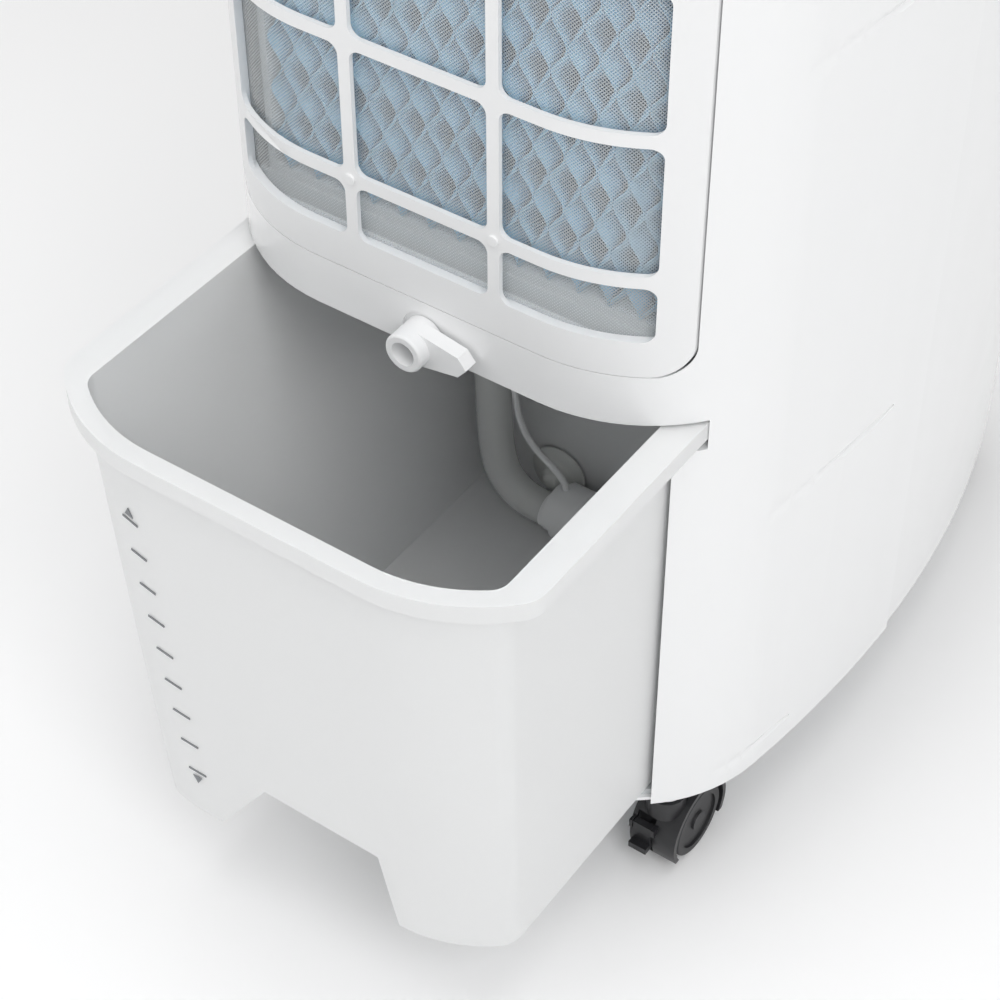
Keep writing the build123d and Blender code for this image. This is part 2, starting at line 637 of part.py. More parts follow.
# ---------------------------------------------------------------- latch
def tank_latch():
    """Turning catch: hollow hub, tapered lever, shaft and retaining collar."""
    hub = rod_y(-0.5, LATCH_PROUD, 0, LATCH_Z, LATCH_HUB_R)
    lever = Polygon(
        (0, LATCH_HUB_R), (-LATCH_REACH + 4, 5.0), (-LATCH_REACH, 0), (-LATCH_REACH + 4, -5.0),
        (0, -LATCH_HUB_R), align=None,
    )
    plate = extrude(Pos(0, 9, LATCH_Z) * Rot(90, 0, 0) * lever, 7.0)
    catch = hub + plate
    catch = fillet(catch.edges().filter_by(GeomType.CIRCLE).sort_by(Axis.Y)[-1:], 1.2)
    catch -= rod_y(5, LATCH_PROUD + 1, 0, LATCH_Z, LATCH_HUB_R - 3.4)
    catch += rod_y(-10.4, -0.5, 0, LATCH_Z, LATCH_SHAFT_R)
    catch += rod_y(-10.4, -8.3, 0, LATCH_Z, LATCH_SHAFT_R + 1.2)
    return catch


# ---------------------------------------------------------------- pump
def pump():
    """Small round pump lying on the tank's floor, with its outlet nozzle and strainer."""
    body = rod_x(PUMP_X - 46, PUMP_X - 2, PUMP_Y, PUMP_Z, PUMP_R)
    body += rod_x(PUMP_X - 52, PUMP_X - 46, PUMP_Y, PUMP_Z, PUMP_R - 3)
    body += rod_x(PUMP_X - 2, PUMP_X + 3, PUMP_Y, PUMP_Z, PUMP_R - 2)
    body += block(PUMP_X - 42, PUMP_X - 6, PUMP_Y - 10, PUMP_Y + 10, PUMP_Z - PUMP_R - 2, PUMP_Z - 10)
    for step in range(4):
        x = PUMP_X - 38 + step * 9.0
        body -= rod_z(PUMP_Z - PUMP_R - 3, PUMP_Z - PUMP_R + 2, x, PUMP_Y, 2.0)
    return body + rod_x(PUMP_X + 2, NOZZLE_X, PUMP_Y, NOZZLE_Z, HOSE_R)


def pump_cup():
    """Suction cup that holds the pump against the tank's inner end."""
    y0 = PUMP_END_Y + 0.8
    disc = Pos(CUP_X, y0 + 2, PUMP_Z + 2) * Rot(90, 0, 0) * Cone(CUP_R - 2, CUP_R, 4)
    cup = disc + rod_y(y0 + 3, y0 + 10, CUP_X, PUMP_Z + 2, 6.0)
    cup += block(PUMP_X + 3, CUP_X - 3, y0 + 5, y0 + 9, PUMP_Z - 3, PUMP_Z + 6)
    return cup & block(-200, 200, y0, 200, TANK_FLOOR_Z + TANK_WALL + 0.4, 300)


def tube_along(points, radii, radius):
    """Round tube along straight runs joined by tangent arcs."""
    path = FilletPolyline(*points, radius=radii)
    start = path.position_at(0)
    section = Plane(origin=start, z_dir=path.tangent_at(0)) * Circle(radius)
    return sweep(section, path=path)


HOSE_POINTS = [
    (HOSE_TOP_X, HOSE_TOP_Y, DECK_Z - 1.0),
    (HOSE_TOP_X, HOSE_TOP_Y, 238.0),
    (HOSE_TOP_X + 1.4, HOSE_TOP_Y + 0.6, 188.0),
    (HOSE_TOP_X, HOSE_TOP_Y, 141.0),
    (HOSE_TOP_X - 0.2, PUMP_Y + 0.6, 121.0),
    (HOSE_TOP_X - 1.0, PUMP_Y + 0.4, 106.0),
    (HOSE_TOP_X - 3.4, PUMP_Y + 0.2, 92.5),
    (HOSE_TOP_X - 7.6, PUMP_Y, 84.1),
    (HOSE_TOP_X - 14.2, PUMP_Y, 78.4),
    (HOSE_TOP_X - 22.5, PUMP_Y, NOZZLE_Z),
    (NOZZLE_X, PUMP_Y, NOZZLE_Z),
]
LEAD_POINTS = [
    (LEAD_TOP_X, HOSE_TOP_Y, DECK_Z - 1.0),
    (LEAD_TOP_X, HOSE_TOP_Y, 245.0),
    (LEAD_TOP_X + 1.5, HOSE_TOP_Y + 1.0, 200.0),
    (LEAD_TOP_X + 0.5, HOSE_TOP_Y + 1.5, 155.0),
    (LEAD_TOP_X - 5.0, HOSE_TOP_Y + 1.0, 120.0),
    (PUMP_X - 3.0, PUMP_Y, PUMP_Z + PUMP_R + 6.0),
    (PUMP_X - 3.0, PUMP_Y, PUMP_Z + PUMP_R),
]


def bend_radii(points, share):
    """Largest tangent arc that two runs leave room for, at each inner point."""
    radii = []
    for before, here, after in zip(points, points[1:], points[2:]):
        first = Vector(*here) - Vector(*before)
        second = Vector(*after) - Vector(*here)
        half = math.radians(first.get_angle(second)) / 2.0
        radii.append(share * min(first.length, second.length) / math.tan(half))
    return radii


def hose():
    """Water hose from the deck's spigot down to the pump."""
    radii = bend_radii(HOSE_POINTS, 0.45)
    print("hose bend radii", [round(value, 1) for value in radii])
    return tube_along(HOSE_POINTS, radii, HOSE_R)


def pump_lead():
    """Thin lead of the pump beside the hose."""
    radii = bend_radii(LEAD_POINTS, 0.45)
    print("lead bend radii", [round(value, 1) for value in radii])
    return tube_along(LEAD_POINTS, radii, LEAD_R)


def hose_spigot():
    """Short pipe through the deck that the hose is pushed on."""
    pipe = rod_z(DECK_Z - 1.0, DECK_Z + 22, HOSE_TOP_X, HOSE_TOP_Y, SPIGOT_R)
    collar = rod_z(DECK_Z + DECK_THICK, DECK_Z + DECK_THICK + 3, HOSE_TOP_X, HOSE_TOP_Y, SPIGOT_R + 3)
    return pipe + collar - rod_z(DECK_Z - 2, DECK_Z + 30, HOSE_TOP_X, HOSE_TOP_Y, SPIGOT_R - 2)


# ---------------------------------------------------------------- outlet
def outlet_frame():
    """Tunnel and bezel that carry the louvres and the vanes."""
    wall = OUTLET_WALL
    tunnel = block(-OUTLET_HALF, OUTLET_HALF, FRONT_Y, OUTLET_REAR_Y, OUTLET_LOW_Z, OUTLET_TOP_Z)
    tunnel -= block(
        -OUTLET_HALF + wall, OUTLET_HALF - wall, FRONT_Y - 1, OUTLET_REAR_Y + 1,
        OUTLET_LOW_Z + wall, OUTLET_TOP_Z - wall,
    )
    tunnel = tunnel & prism(FRONT_STEP - 0.6, OUTLET_LOW_Z, OUTLET_TOP_Z)
    for z in louvre_heights():
        tunnel -= both(rod_x(OUTLET_HALF - 4, OUTLET_HALF - 0.8, LOUVRE_Y, z, PIN_R + RUN_CLEAR))
    for x in vane_places():
        tunnel -= rod_z(OUTLET_LOW_Z + 0.8, OUTLET_LOW_Z + 4, x, VANE_Y, PIN_R + RUN_CLEAR)
        tunnel -= rod_z(OUTLET_TOP_Z - 4, OUTLET_TOP_Z - 0.8, x, VANE_Y, PIN_R + RUN_CLEAR)
    tunnel -= rod_z(OUTLET_LOW_Z - 1, OUTLET_LOW_Z + 4, 0, VANE_Y, PIN_R + RUN_CLEAR)
    return tunnel


def louvre_heights():
    """Heights of the louvre pivots."""
    middle = (OUTLET_LOW_Z + OUTLET_TOP_Z) / 2.0
    first = middle - LOUVRE_PITCH * (LOUVRE_COUNT - 1) / 2.0
    return [first + step * LOUVRE_PITCH for step in range(LOUVRE_COUNT)]


def vane_places():
    """Distances of the vane pivots from the middle."""
    first = -VANE_PITCH * (VANE_COUNT - 1) / 2.0
    return [first + step * VANE_PITCH for step in range(VANE_COUNT)]


def louvre(z):
    """Level blade with a pivot pin at each end and a notch for its link."""
    half = OUTLET_HALF - OUTLET_WALL - 0.6
    blade = Pos(0, LOUVRE_Y, z) * Box(2 * half, LOUVRE_CHORD, LOUVRE_THICK)
    blade = fillet(blade.edges().filter_by(Axis.X), LOUVRE_THICK * 0.42)
    notch = LINK_THICK / 2.0 + 0.5
    blade -= block(TIE_X - notch, TIE_X + notch, LOUVRE_Y + 3.0, LOUVRE_Y + 20, z - 5, z + 5)
    blade += rod_x(TIE_X - notch - 1, TIE_X + notch + 1, LOUVRE_Y + LINK_ARM, z, LINK_PIN_R)
    return blade + both(rod_x(half - 1, OUTLET_HALF - 1.2, LOUVRE_Y, z, PIN_R))


def louvre_link():
    """Upright bar with slots that tilts all the louvres together."""
    y = LOUVRE_Y + LINK_ARM
    half = LINK_THICK / 2.0
    heights = louvre_heights()
    bar = block(TIE_X - half, TIE_X + half, y - 3.2, y + 3.4, heights[0] - 4.5, heights[-1] + 4.5)
    for z in heights:
        bar -= block(TIE_X - 5, TIE_X + 5, y - 2.2, y + 1.6, z - LINK_SLOT, z + LINK_SLOT)
    return bar


def vane(x):
    """Upright blade with pivot pins and the pin that its link moves."""
    height = VANE_TOP_Z - VANE_LOW_Z
    blade = Pos(x, VANE_Y, (VANE_LOW_Z + VANE_TOP_Z) / 2.0) * Box(VANE_THICK, VANE_CHORD, height)
    blade = fillet(blade.edges().filter_by(Axis.Z), VANE_THICK * 0.42)
    low = OUTLET_LOW_Z + 0.8 if abs(x) > 1 else OUTLET_LOW_Z - 2.0
    blade += rod_z(low + 0.4, VANE_LOW_Z + 1, x, VANE_Y, PIN_R)
    blade += rod_z(VANE_TOP_Z - 1, OUTLET_TOP_Z - 1.2, x, VANE_Y, PIN_R)
    blade += rod_z(VANE_LOW_Z - 2.6, VANE_LOW_Z + 1, x, VANE_Y + LINK_ARM, LINK_PIN_R)
    return blade


def vane_link():
    """Bar with slots that turns all the vanes together."""
    y = VANE_Y + LINK_ARM
    half = VANE_PITCH * (VANE_COUNT - 1) / 2.0 + 5.0
    low = OUTLET_LOW_Z + OUTLET_WALL + 0.6
    bar = block(-half, half, y - 3.6, y + 4.0, low, low + LINK_THICK)
    for x in vane_places():
        bar -= block(x - LINK_SLOT, x + LINK_SLOT, y - 2.6, y + 1.8, low - 1, low + 3)
    return bar


def swing_motor():
    """Small synchronous motor that turns the middle vane."""
    high = OUTLET_LOW_Z
    case = rod_z(high - 17, high - 1.2, 0, VANE_Y, 14.0)
    case -= rod_z(high - 4.0, high, 0, VANE_Y, 2.6)
    feet = block(-20, 20, VANE_Y - 4, VANE_Y + 4, high - 1.2, high)
    feet -= rod_z(high - 5, high + 1, 0, VANE_Y, 2.6)
    return case + feet


# ---------------------------------------------------------------- blower
def blower_wheel():
    """Cross-flow rotor: end discs, a ring of blades and its shaft."""
    wheel = rod_x(-FAN_HALF, -FAN_HALF + 2, FAN_Y, FAN_Z, FAN_R)
    wheel += rod_x(FAN_HALF - 2, FAN_HALF, FAN_Y, FAN_Z, FAN_R)
    for step in range(FAN_BLADES):
        turn = 360.0 / FAN_BLADES * step
        blade = Pos(0, 0, FAN_R - 6.5) * Rot(28, 0, 0) * Box(2 * FAN_HALF - 2, 1.2, 11.0)
        wheel += Pos(0, FAN_Y, FAN_Z) * Rot(turn, 0, 0) * blade
    wheel += rod_x(-FAN_HALF - 4.5, -FAN_HALF + 1, FAN_Y, FAN_Z, FAN_SHAFT_R)
    wheel += rod_x(FAN_HALF - 1, FAN_HALF + 14, FAN_Y, FAN_Z, FAN_SHAFT_R)
    return wheel


def blower_casing():
    """Side plates and curved guide walls round the rotor."""
    wall = CASING_WALL
    outer = CASING_R + wall
    plate = rod_x(PLATE_X, PLATE_X + wall, FAN_Y, FAN_Z, outer)
    low = OUTLET_LOW_Z + OUTLET_WALL
    high = OUTLET_TOP_Z - OUTLET_WALL
    plate += block(PLATE_X, PLATE_X + wall, OUTLET_REAR_Y, FAN_Y, low, high)
    plate -= rod_x(PLATE_X - 1, PLATE_X + 5, FAN_Y, FAN_Z, FAN_SHAFT_R + RUN_CLEAR)
    drum = rod_x(-PLATE_X, PLATE_X, FAN_Y, FAN_Z, outer) - rod_x(-200, 200, FAN_Y, FAN_Z, CASING_R)
    upper = drum & block(-200, 200, FAN_Y, FAN_Y + 60, FAN_Z - 12, FAN_Z + 60)
    lower = drum & block(-200, 200, FAN_Y - 42, FAN_Y - 12, FAN_Z - 60, FAN_Z)
    roof = block(-PLATE_X, PLATE_X, OUTLET_REAR_Y, FAN_Y, FAN_Z + CASING_R, FAN_Z + outer)
    sill = block(-PLATE_X, PLATE_X, OUTLET_REAR_Y, FAN_Y - 36, low, low + wall)
    return both(plate) + upper + lower + roof + sill


def blower_motor():
    """Motor on the end of the rotor's shaft."""
    x0 = PLATE_X + CASING_WALL + 2.0
    can = rod_x(x0, x0 + MOTOR_LENGTH, FAN_Y, FAN_Z, MOTOR_R)
    can = fillet(can.edges().filter_by(GeomType.CIRCLE), 2.0)
    return can - rod_x(x0 - 1, x0 + 11, FAN_Y, FAN_Z, FAN_SHAFT_R + RUN_CLEAR)


def motor_bracket():
    """Plate between the motor and the blower's side plate."""
    x0 = PLATE_X + CASING_WALL
    plate = rod_x(x0, x0 + 2.0, FAN_Y, FAN_Z, MOTOR_R + 6)
    return plate - rod_x(x0 - 1, x0 + 3, FAN_Y, FAN_Z, FAN_SHAFT_R + 1.5)


# ---------------------------------------------------------------- top cover and panel
def top_cover():
    """Lid of the housing, rounded over at its edge, open for the control panel."""
    low = COVER_Z + TRIM_GAP - 0.4
    outer = prism(0, low, TOP_Z)
    outer = fillet(outer.faces().sort_by(Axis.Z)[-1].edges(), COVER_FILLET)
    inner = prism(SHELL_WALL, low - 1, TOP_Z - SHELL_WALL)
    inner = fillet(inner.faces().sort_by(Axis.Z)[-1].edges(), COVER_FILLET - SHELL_WALL)
    cover = outer - inner
    cover -= rod_y(rear_y(GLAND_X) - 12, 5, GLAND_X, GLAND_Z, GLAND_R)
    opening = RectangleRounded(2 * (PANEL_HALF_X + GAP), 2 * (PANEL_HALF_Y + GAP), 8 + GAP)
    cover -= extrude(Pos(0, PANEL_Y, TOP_Z - 10) * opening, 20)
    return cover


def button_places():
    """Distances of the buttons from the middle."""
    first = -BUTTON_PITCH * (BUTTON_COUNT - 1) / 2.0
    return [first + step * BUTTON_PITCH for step in range(BUTTON_COUNT)]


def control_panel():
    """Fascia with the button holes and the display's seat."""
    top = extrude(
        Pos(0, PANEL_Y, TOP_Z - SHELL_WALL) * RectangleRounded(2 * PANEL_HALF_X, 2 * PANEL_HALF_Y, 8),
        SHELL_WALL + 0.4,
    )
    under = extrude(
        Pos(0, PANEL_Y, PANEL_UNDER_Z) * RectangleRounded(2 * PANEL_HALF_X + 8, 2 * PANEL_HALF_Y + 8, 11),
        2.5,
    )
    panel = top + under
    for x in button_places():
        panel -= rod_z(PANEL_UNDER_Z - 1, TOP_Z + 2, x, BUTTON_Y, BUTTON_R + 0.35)
    panel -= Pos(0, PANEL_Y + 14, TOP_Z + 0.4) * Box(64.4, 24.4, 2.4)
    for x in (-PANEL_HALF_X + 6, PANEL_HALF_X - 6):
        for y in (PANEL_Y - PANEL_HALF_Y + 6, PANEL_Y + PANEL_HALF_Y - 6):
            panel += rod_z(BOARD_TOP_Z, PANEL_UNDER_Z + 0.5, x, y, 3.0)
    return panel


def display_window():
    """Clear window over the display."""
    return Pos(0, PANEL_Y + 14, TOP_Z - 0.2) * Box(64, 24, 1.2)


def control_board():
    """Circuit board with its key switches, display module and main chip."""
    board = block(
        -PANEL_HALF_X + 1, PANEL_HALF_X - 1, PANEL_Y - PANEL_HALF_Y + 1, PANEL_Y + PANEL_HALF_Y - 1,
        BOARD_TOP_Z - 1.6, BOARD_TOP_Z,
    )
    for x in button_places():
        board += block(x - 3, x + 3, BUTTON_Y - 3, BUTTON_Y + 3, BOARD_TOP_Z, BOARD_TOP_Z + 1.0)
    board += block(-29, 29, PANEL_Y + 5, PANEL_Y + 23, BOARD_TOP_Z, PANEL_UNDER_Z - 0.3)
    board += block(-48, -36, PANEL_Y + 4, PANEL_Y + 16, BOARD_TOP_Z - 3.4, BOARD_TOP_Z - 1.6)
    return board


def button(x):
    """Round key with a collar that keeps it in the panel."""
    collar_top = PANEL_UNDER_Z - GAP
    collar_low = BOARD_TOP_Z + 1.0 + BUTTON_TRAVEL + 0.3
    key = rod_z(collar_top - 1, TOP_Z + 1.4, x, BUTTON_Y, BUTTON_R)
    key = fillet(key.edges().filter_by(GeomType.CIRCLE).sort_by(Axis.Z)[-1:], 0.8)
    return key + rod_z(collar_low, collar_top, x, BUTTON_Y, BUTTON_R + 1.6)


# ---------------------------------------------------------------- casters
def caster_hood(x, y):
    """Swivelling hood: wheel cover cut off low, middle web, axle bearing and stem."""
    axle_y = y - TRAIL
    half = WHEEL_OUTER + 0.5
    web = WHEEL_OUTER - WHEEL_WIDTH - 0.4
    hood = rod_x(x - half, x + half, axle_y, WHEEL_R, HOOD_R)
    hood += rod_z(HOOD_TOP_Z - 12, HOOD_TOP_Z, x, y, 9.5)
    hood -= rod_x(x - half - 1, x + half + 1, axle_y, WHEEL_R, HOOD_R - HOOD_WALL)
    hood += rod_x(x - web, x + web, axle_y, WHEEL_R, HOOD_R - 1)
    hood = hood & block(x - 40, x + 40, y - 60, y + 60, HOOD_LOW_Z, HOOD_TOP_Z)
    hood += rod_x(x - web, x + web, axle_y, WHEEL_R, 7.0)
    hood -= rod_x(x - 20, x + 20, axle_y, WHEEL_R, AXLE_R + RUN_CLEAR)
    return hood + rod_z(HOOD_TOP_Z - 1, STEM_TOP_Z, x, y, STEM_R)


def braked_hood(x, y):
    """Caster hood with the slot and the two ears that carry the brake tab."""
    pivot_y, pivot_z = brake_pivot(y)
    left = x + BRAKE_LEFT
    right = x + BRAKE_RIGHT
    hood = caster_hood(x, y)
    ears = block(left - 2.2, right + 2.0, pivot_y - 5, pivot_y + 2.4, pivot_z - 2.4, pivot_z + 2.4)
    ears -= rod_x(left - 5, right + 5, y - TRAIL, WHEEL_R, HOOD_R - HOOD_WALL)
    hood += ears
    hood -= block(left - GAP, right + GAP, pivot_y - 5, pivot_y + 10, pivot_z - 17, pivot_z + 5)
    return hood - rod_x(left - 1.8, right + 1.6, pivot_y, pivot_z, BRAKE_PIN_R + RUN_CLEAR)


def brake_pivot(y):
    """Place of the brake tab's pin."""
    return (y - TRAIL + HOOD_R - 0.4, WHEEL_R + 8.0)


def caster_wheels(x, y):
    """Pair of wheels on one axle."""
    axle_y = y - TRAIL
    inner = WHEEL_OUTER - WHEEL_WIDTH
    wheel = rod_x(x + inner, x + WHEEL_OUTER, axle_y, WHEEL_R, WHEEL_R)
    wheel = fillet(wheel.edges().filter_by(GeomType.CIRCLE), 1.4)
    wheel -= rod_x(x + WHEEL_OUTER - 1.2, x + WHEEL_OUTER + 1, axle_y, WHEEL_R, WHEEL_R - 4.5)
    wheel += rod_x(x + inner, x + WHEEL_OUTER, axle_y, WHEEL_R, 5.0)
    far = Pos(x, 0, 0) * mirror(Pos(-x, 0, 0) * wheel, Plane.YZ)
    return wheel + far + rod_x(x - inner - 1, x + inner + 1, axle_y, WHEEL_R, AXLE_R)


def caster_brake(x, y):
    """Foot tab that presses on one wheel."""
    pivot_y, pivot_z = brake_pivot(y)
    left = x + BRAKE_LEFT
    right = x + BRAKE_RIGHT
    tab = block(left, right, pivot_y - 1.7, pivot_y + 1.9, pivot_z - 13.0, pivot_z + 1.9)
    tab += block(left, right, pivot_y + 1.0, pivot_y + 5.5, pivot_z - 13.0, pivot_z - 9.5)
    return tab + rod_x(left - 1.4, right + 1.2, pivot_y, pivot_z, BRAKE_PIN_R)


# ---------------------------------------------------------------- small pieces
def cord_gland():
    """Round grommet for the mains lead, in the rear of the top cover."""
    face = rear_y(GLAND_X)
    collar = rod_y(face - 3.0, face + 5.5, GLAND_X, GLAND_Z, GLAND_R + 2.0)
    collar -= prism(0, GLAND_Z - 15, GLAND_Z + 15)
    sleeve = rod_y(face - 9.0, face + 3.0, GLAND_X, GLAND_Z, GLAND_R - 0.05)
    return collar + sleeve - rod_y(face - 20, face + 20, GLAND_X, GLAND_Z, CORD_HOLE_R)


def screw_places():
    """Plan of the screws that join the shells' flanges to the pan."""
    places = []
    for y in (-60.0, -140.0, -230.0, -320.0):
        x = side_x(y) - SCREW_INSET
        places += [(x, y), (-x, y)]
    return places + [(0.0, FRONT_Y + SCREW_INSET)]


def drilled(shape):
    """A shape with the clearance holes of the base screws."""
    for x, y in screw_places():
        shape -= rod_z(BASE_Z - 2, PAN_TOP_Z + 2, x, y, SCREW_R + RUN_CLEAR)
    return shape


def screws():
    """Cross-head screws from below, through the flanges and the pan."""
    heads = []
    for x, y in screw_places():
        head = rod_z(BASE_Z - 1.8, BASE_Z, x, y, SCREW_HEAD_R)
        head += rod_z(BASE_Z, PAN_TOP_Z + 1.5, x, y, SCREW_R)
        head -= Pos(x, y, BASE_Z - 1.8) * Box(5.0, 1.0, 1.6)
        head -= Pos(x, y, BASE_Z - 1.8) * Box(1.0, 5.0, 1.6)
        heads.append(head)
    return Compound(children=heads)


# ---------------------------------------------------------------- write the pieces
def pieces():
    """Every named piece of the cooler."""
    yield "rear_shell", rear_shell()
    yield "front_shell", front_shell()
    yield "base_pan", base_pan()
    yield "bay_wall_left", bay_wall(1)
    yield "bay_wall_right", bay_wall(-1)
    yield "bay_back_wall", bay_back_wall()
    yield "bay_deck", bay_deck()
    yield "drip_tray", drip_tray()
    yield "pad_frame", pad_frame()
    yield "cooling_pad", cooling_pad()
    yield "water_distributor", water_distributor()
    yield "filter_frame", filter_frame()
    yield "filter_mesh", filter_mesh()
    yield "tank", tank()
    yield "level_marks", level_marks()
    yield "tank_latch", tank_latch()
    yield "pump", pump()
    yield "pump_cup", pump_cup()
    yield "pump_hose", hose()
    yield "pump_lead", pump_lead()
    yield "hose_spigot", hose_spigot()
    yield "outlet_frame", outlet_frame()
    for number, z in enumerate(louvre_heights(), 1):
        yield f"louvre_{number}", louvre(z)
    yield "louvre_link", louvre_link()
    for number, x in enumerate(vane_places(), 1):
        yield f"vane_{number}", vane(x)
    yield "vane_link", vane_link()
    yield "swing_motor", swing_motor()
    yield "blower_wheel", blower_wheel()
    yield "blower_casing", blower_casing()
    yield "blower_motor", blower_motor()
    yield "motor_bracket", motor_bracket()
    yield "top_cover", top_cover()
    yield "control_panel", control_panel()
    yield "display_window", display_window()
    yield "control_board", control_board()
    names = ("power", "speed", "mode", "swing", "timer")
    for name, x in zip(names, button_places()):
        yield f"button_{name}", button(x)
    for name, x, y, braked in caster_places():
        yield f"caster_{name}_hood", braked_hood(x, y) if braked else caster_hood(x, y)
        yield f"caster_{name}_wheels", caster_wheels(x, y)
        if braked:
            yield f"caster_{name}_brake", caster_brake(x, y)
    yield "cord_gland", cord_gland()
    yield "base_screws", screws()


def main():
    """Write one STEP file for each piece."""
    os.makedirs("parts", exist_ok=True)
    for name, shape in pieces():
        export_step(Pos(0, Y_SHIFT, 0) * shape, f"parts/{name}.step")


main()
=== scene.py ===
"""Looks of a floor-standing evaporative cooler, built round its CAD frame."""

import logging
import math
from dataclasses import dataclass, field
from enum import Enum
from typing import Sequence

import bmesh
import bpy
from mathutils import Matrix, Vector

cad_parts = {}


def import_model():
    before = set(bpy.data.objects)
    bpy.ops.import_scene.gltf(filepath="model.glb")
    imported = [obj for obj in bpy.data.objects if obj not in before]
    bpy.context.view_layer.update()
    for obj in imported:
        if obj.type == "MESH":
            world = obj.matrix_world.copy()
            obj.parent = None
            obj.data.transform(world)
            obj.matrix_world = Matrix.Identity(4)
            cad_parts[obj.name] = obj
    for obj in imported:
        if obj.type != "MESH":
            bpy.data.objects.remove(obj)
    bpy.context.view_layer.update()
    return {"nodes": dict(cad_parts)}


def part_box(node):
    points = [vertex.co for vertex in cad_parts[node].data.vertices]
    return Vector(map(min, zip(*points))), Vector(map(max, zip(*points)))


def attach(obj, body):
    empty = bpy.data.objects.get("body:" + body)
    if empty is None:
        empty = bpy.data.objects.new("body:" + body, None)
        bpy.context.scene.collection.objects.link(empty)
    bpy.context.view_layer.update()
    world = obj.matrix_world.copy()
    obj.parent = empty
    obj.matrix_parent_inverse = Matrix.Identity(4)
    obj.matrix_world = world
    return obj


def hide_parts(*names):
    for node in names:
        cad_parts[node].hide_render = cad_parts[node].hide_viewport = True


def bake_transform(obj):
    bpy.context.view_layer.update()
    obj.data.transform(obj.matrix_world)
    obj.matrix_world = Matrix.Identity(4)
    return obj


LOG = logging.getLogger("cooler")
Colour = tuple[float, float, float]
Point = tuple[float, float, float]
Socket = bpy.types.NodeSocket


# ------------------------------------------------------------------ finishes
class Shader:
    """One material's node tree, with short calls to add and join nodes."""

    def __init__(self, name: str) -> None:
        """Starts an empty node material with its output and object coordinates.

        Args:
            name: The material's name.
        """
        self.material = bpy.data.materials.new(name)
        self.material.use_nodes = True
        self.tree = self.material.node_tree
        self.tree.nodes.clear()
        self.output = self.add("ShaderNodeOutputMaterial")
        self.place = self.add("ShaderNodeTexCoord").outputs["Object"]

    def add(self, kind: str, **settings: object) -> bpy.types.Node:
        """Adds a node.

        Args:
            kind: The node's type.
            settings: Properties, or input values by their names with _ for spaces.

        Returns:
            The new node.
        """
        node = self.tree.nodes.new(kind)
        for key, value in settings.items():
            if key in node.bl_rna.properties:
                setattr(node, key, value)
            else:
                node.inputs[key.replace("_", " ")].default_value = value
        return node

    def join(self, start: Socket, end: Socket) -> None:
        """Links an output to an input."""
        self.tree.links.new(start, end)

    def stretched(self, scale: Point, turn: Point = (0.0, 0.0, 0.0)) -> Socket:
        """Object coordinates, scaled and turned.

        Args:
            scale: Factor along each axis.
            turn: Angles about each axis, in radians.

        Returns:
            The mapped vector.
        """
        mapping = self.add("ShaderNodeMapping")
        mapping.inputs["Scale"].default_value = scale
        mapping.inputs["Rotation"].default_value = turn
        self.join(self.place, mapping.inputs["Vector"])
        return mapping.outputs["Vector"]

    def noise(self, size: float, detail: float, vector: Socket | None = None) -> Socket:
        """Soft noise.

        Args:
            size: Size of its spots, in metres.
            detail: Octaves.
            vector: Coordinates, or the object's own.

        Returns:
            The noise value.
        """
        node = self.add("ShaderNodeTexNoise", Scale=1.0 / size, Detail=detail)
        self.join(vector or self.place, node.inputs["Vector"])
        return node.outputs["Fac"]

    def between(self, value: Socket, low: float, high: float) -> Socket:
        """A 0 to 1 value mapped to a range.

        Args:
            value: The value, of which the middle half is used.
            low: Result at the low end.
            high: Result at the high end.

        Returns:
            The mapped value.
        """
        node = self.add("ShaderNodeMapRange")
        node.inputs["From Min"].default_value = 0.25
        node.inputs["From Max"].default_value = 0.75
        node.inputs["To Min"].default_value = low
        node.inputs["To Max"].default_value = high
        self.join(value, node.inputs["Value"])
        return node.outputs["Result"]

    def blend(self, share: Socket, first: Colour, second: Colour) -> Socket:
        """A colour between two, by a share from 0 to 1.

        Args:
            share: How much of the second colour.
            first: Colour at 0.
            second: Colour at 1.

        Returns:
            The mixed colour.
        """
        node = self.add("ShaderNodeMix", data_type="RGBA")
        self.join(share, node.inputs[0])
        node.inputs[6].default_value = (*first, 1.0)
        node.inputs[7].default_value = (*second, 1.0)
        return node.outputs[2]

    def bump(self, height: Socket, depth: float, under: Socket | None = None) -> Socket:
        """A normal raised by a height value.

        Args:
            height: Value from 0 to 1.
            depth: Height of the relief, in metres.
            under: A normal to add to.

        Returns:
            The new normal.
        """
        node = self.add("ShaderNodeBump", Strength=1.0, Distance=depth)
        self.join(height, node.inputs["Height"])
        if under is not None:
            self.join(under, node.inputs["Normal"])
        return node.outputs["Normal"]


def scaled(colour: Colour, factor: float) -> Colour:
    """A colour made lighter or darker, kept within 0 to 1."""
    return tuple(min(1.0, channel * factor) for channel in colour)


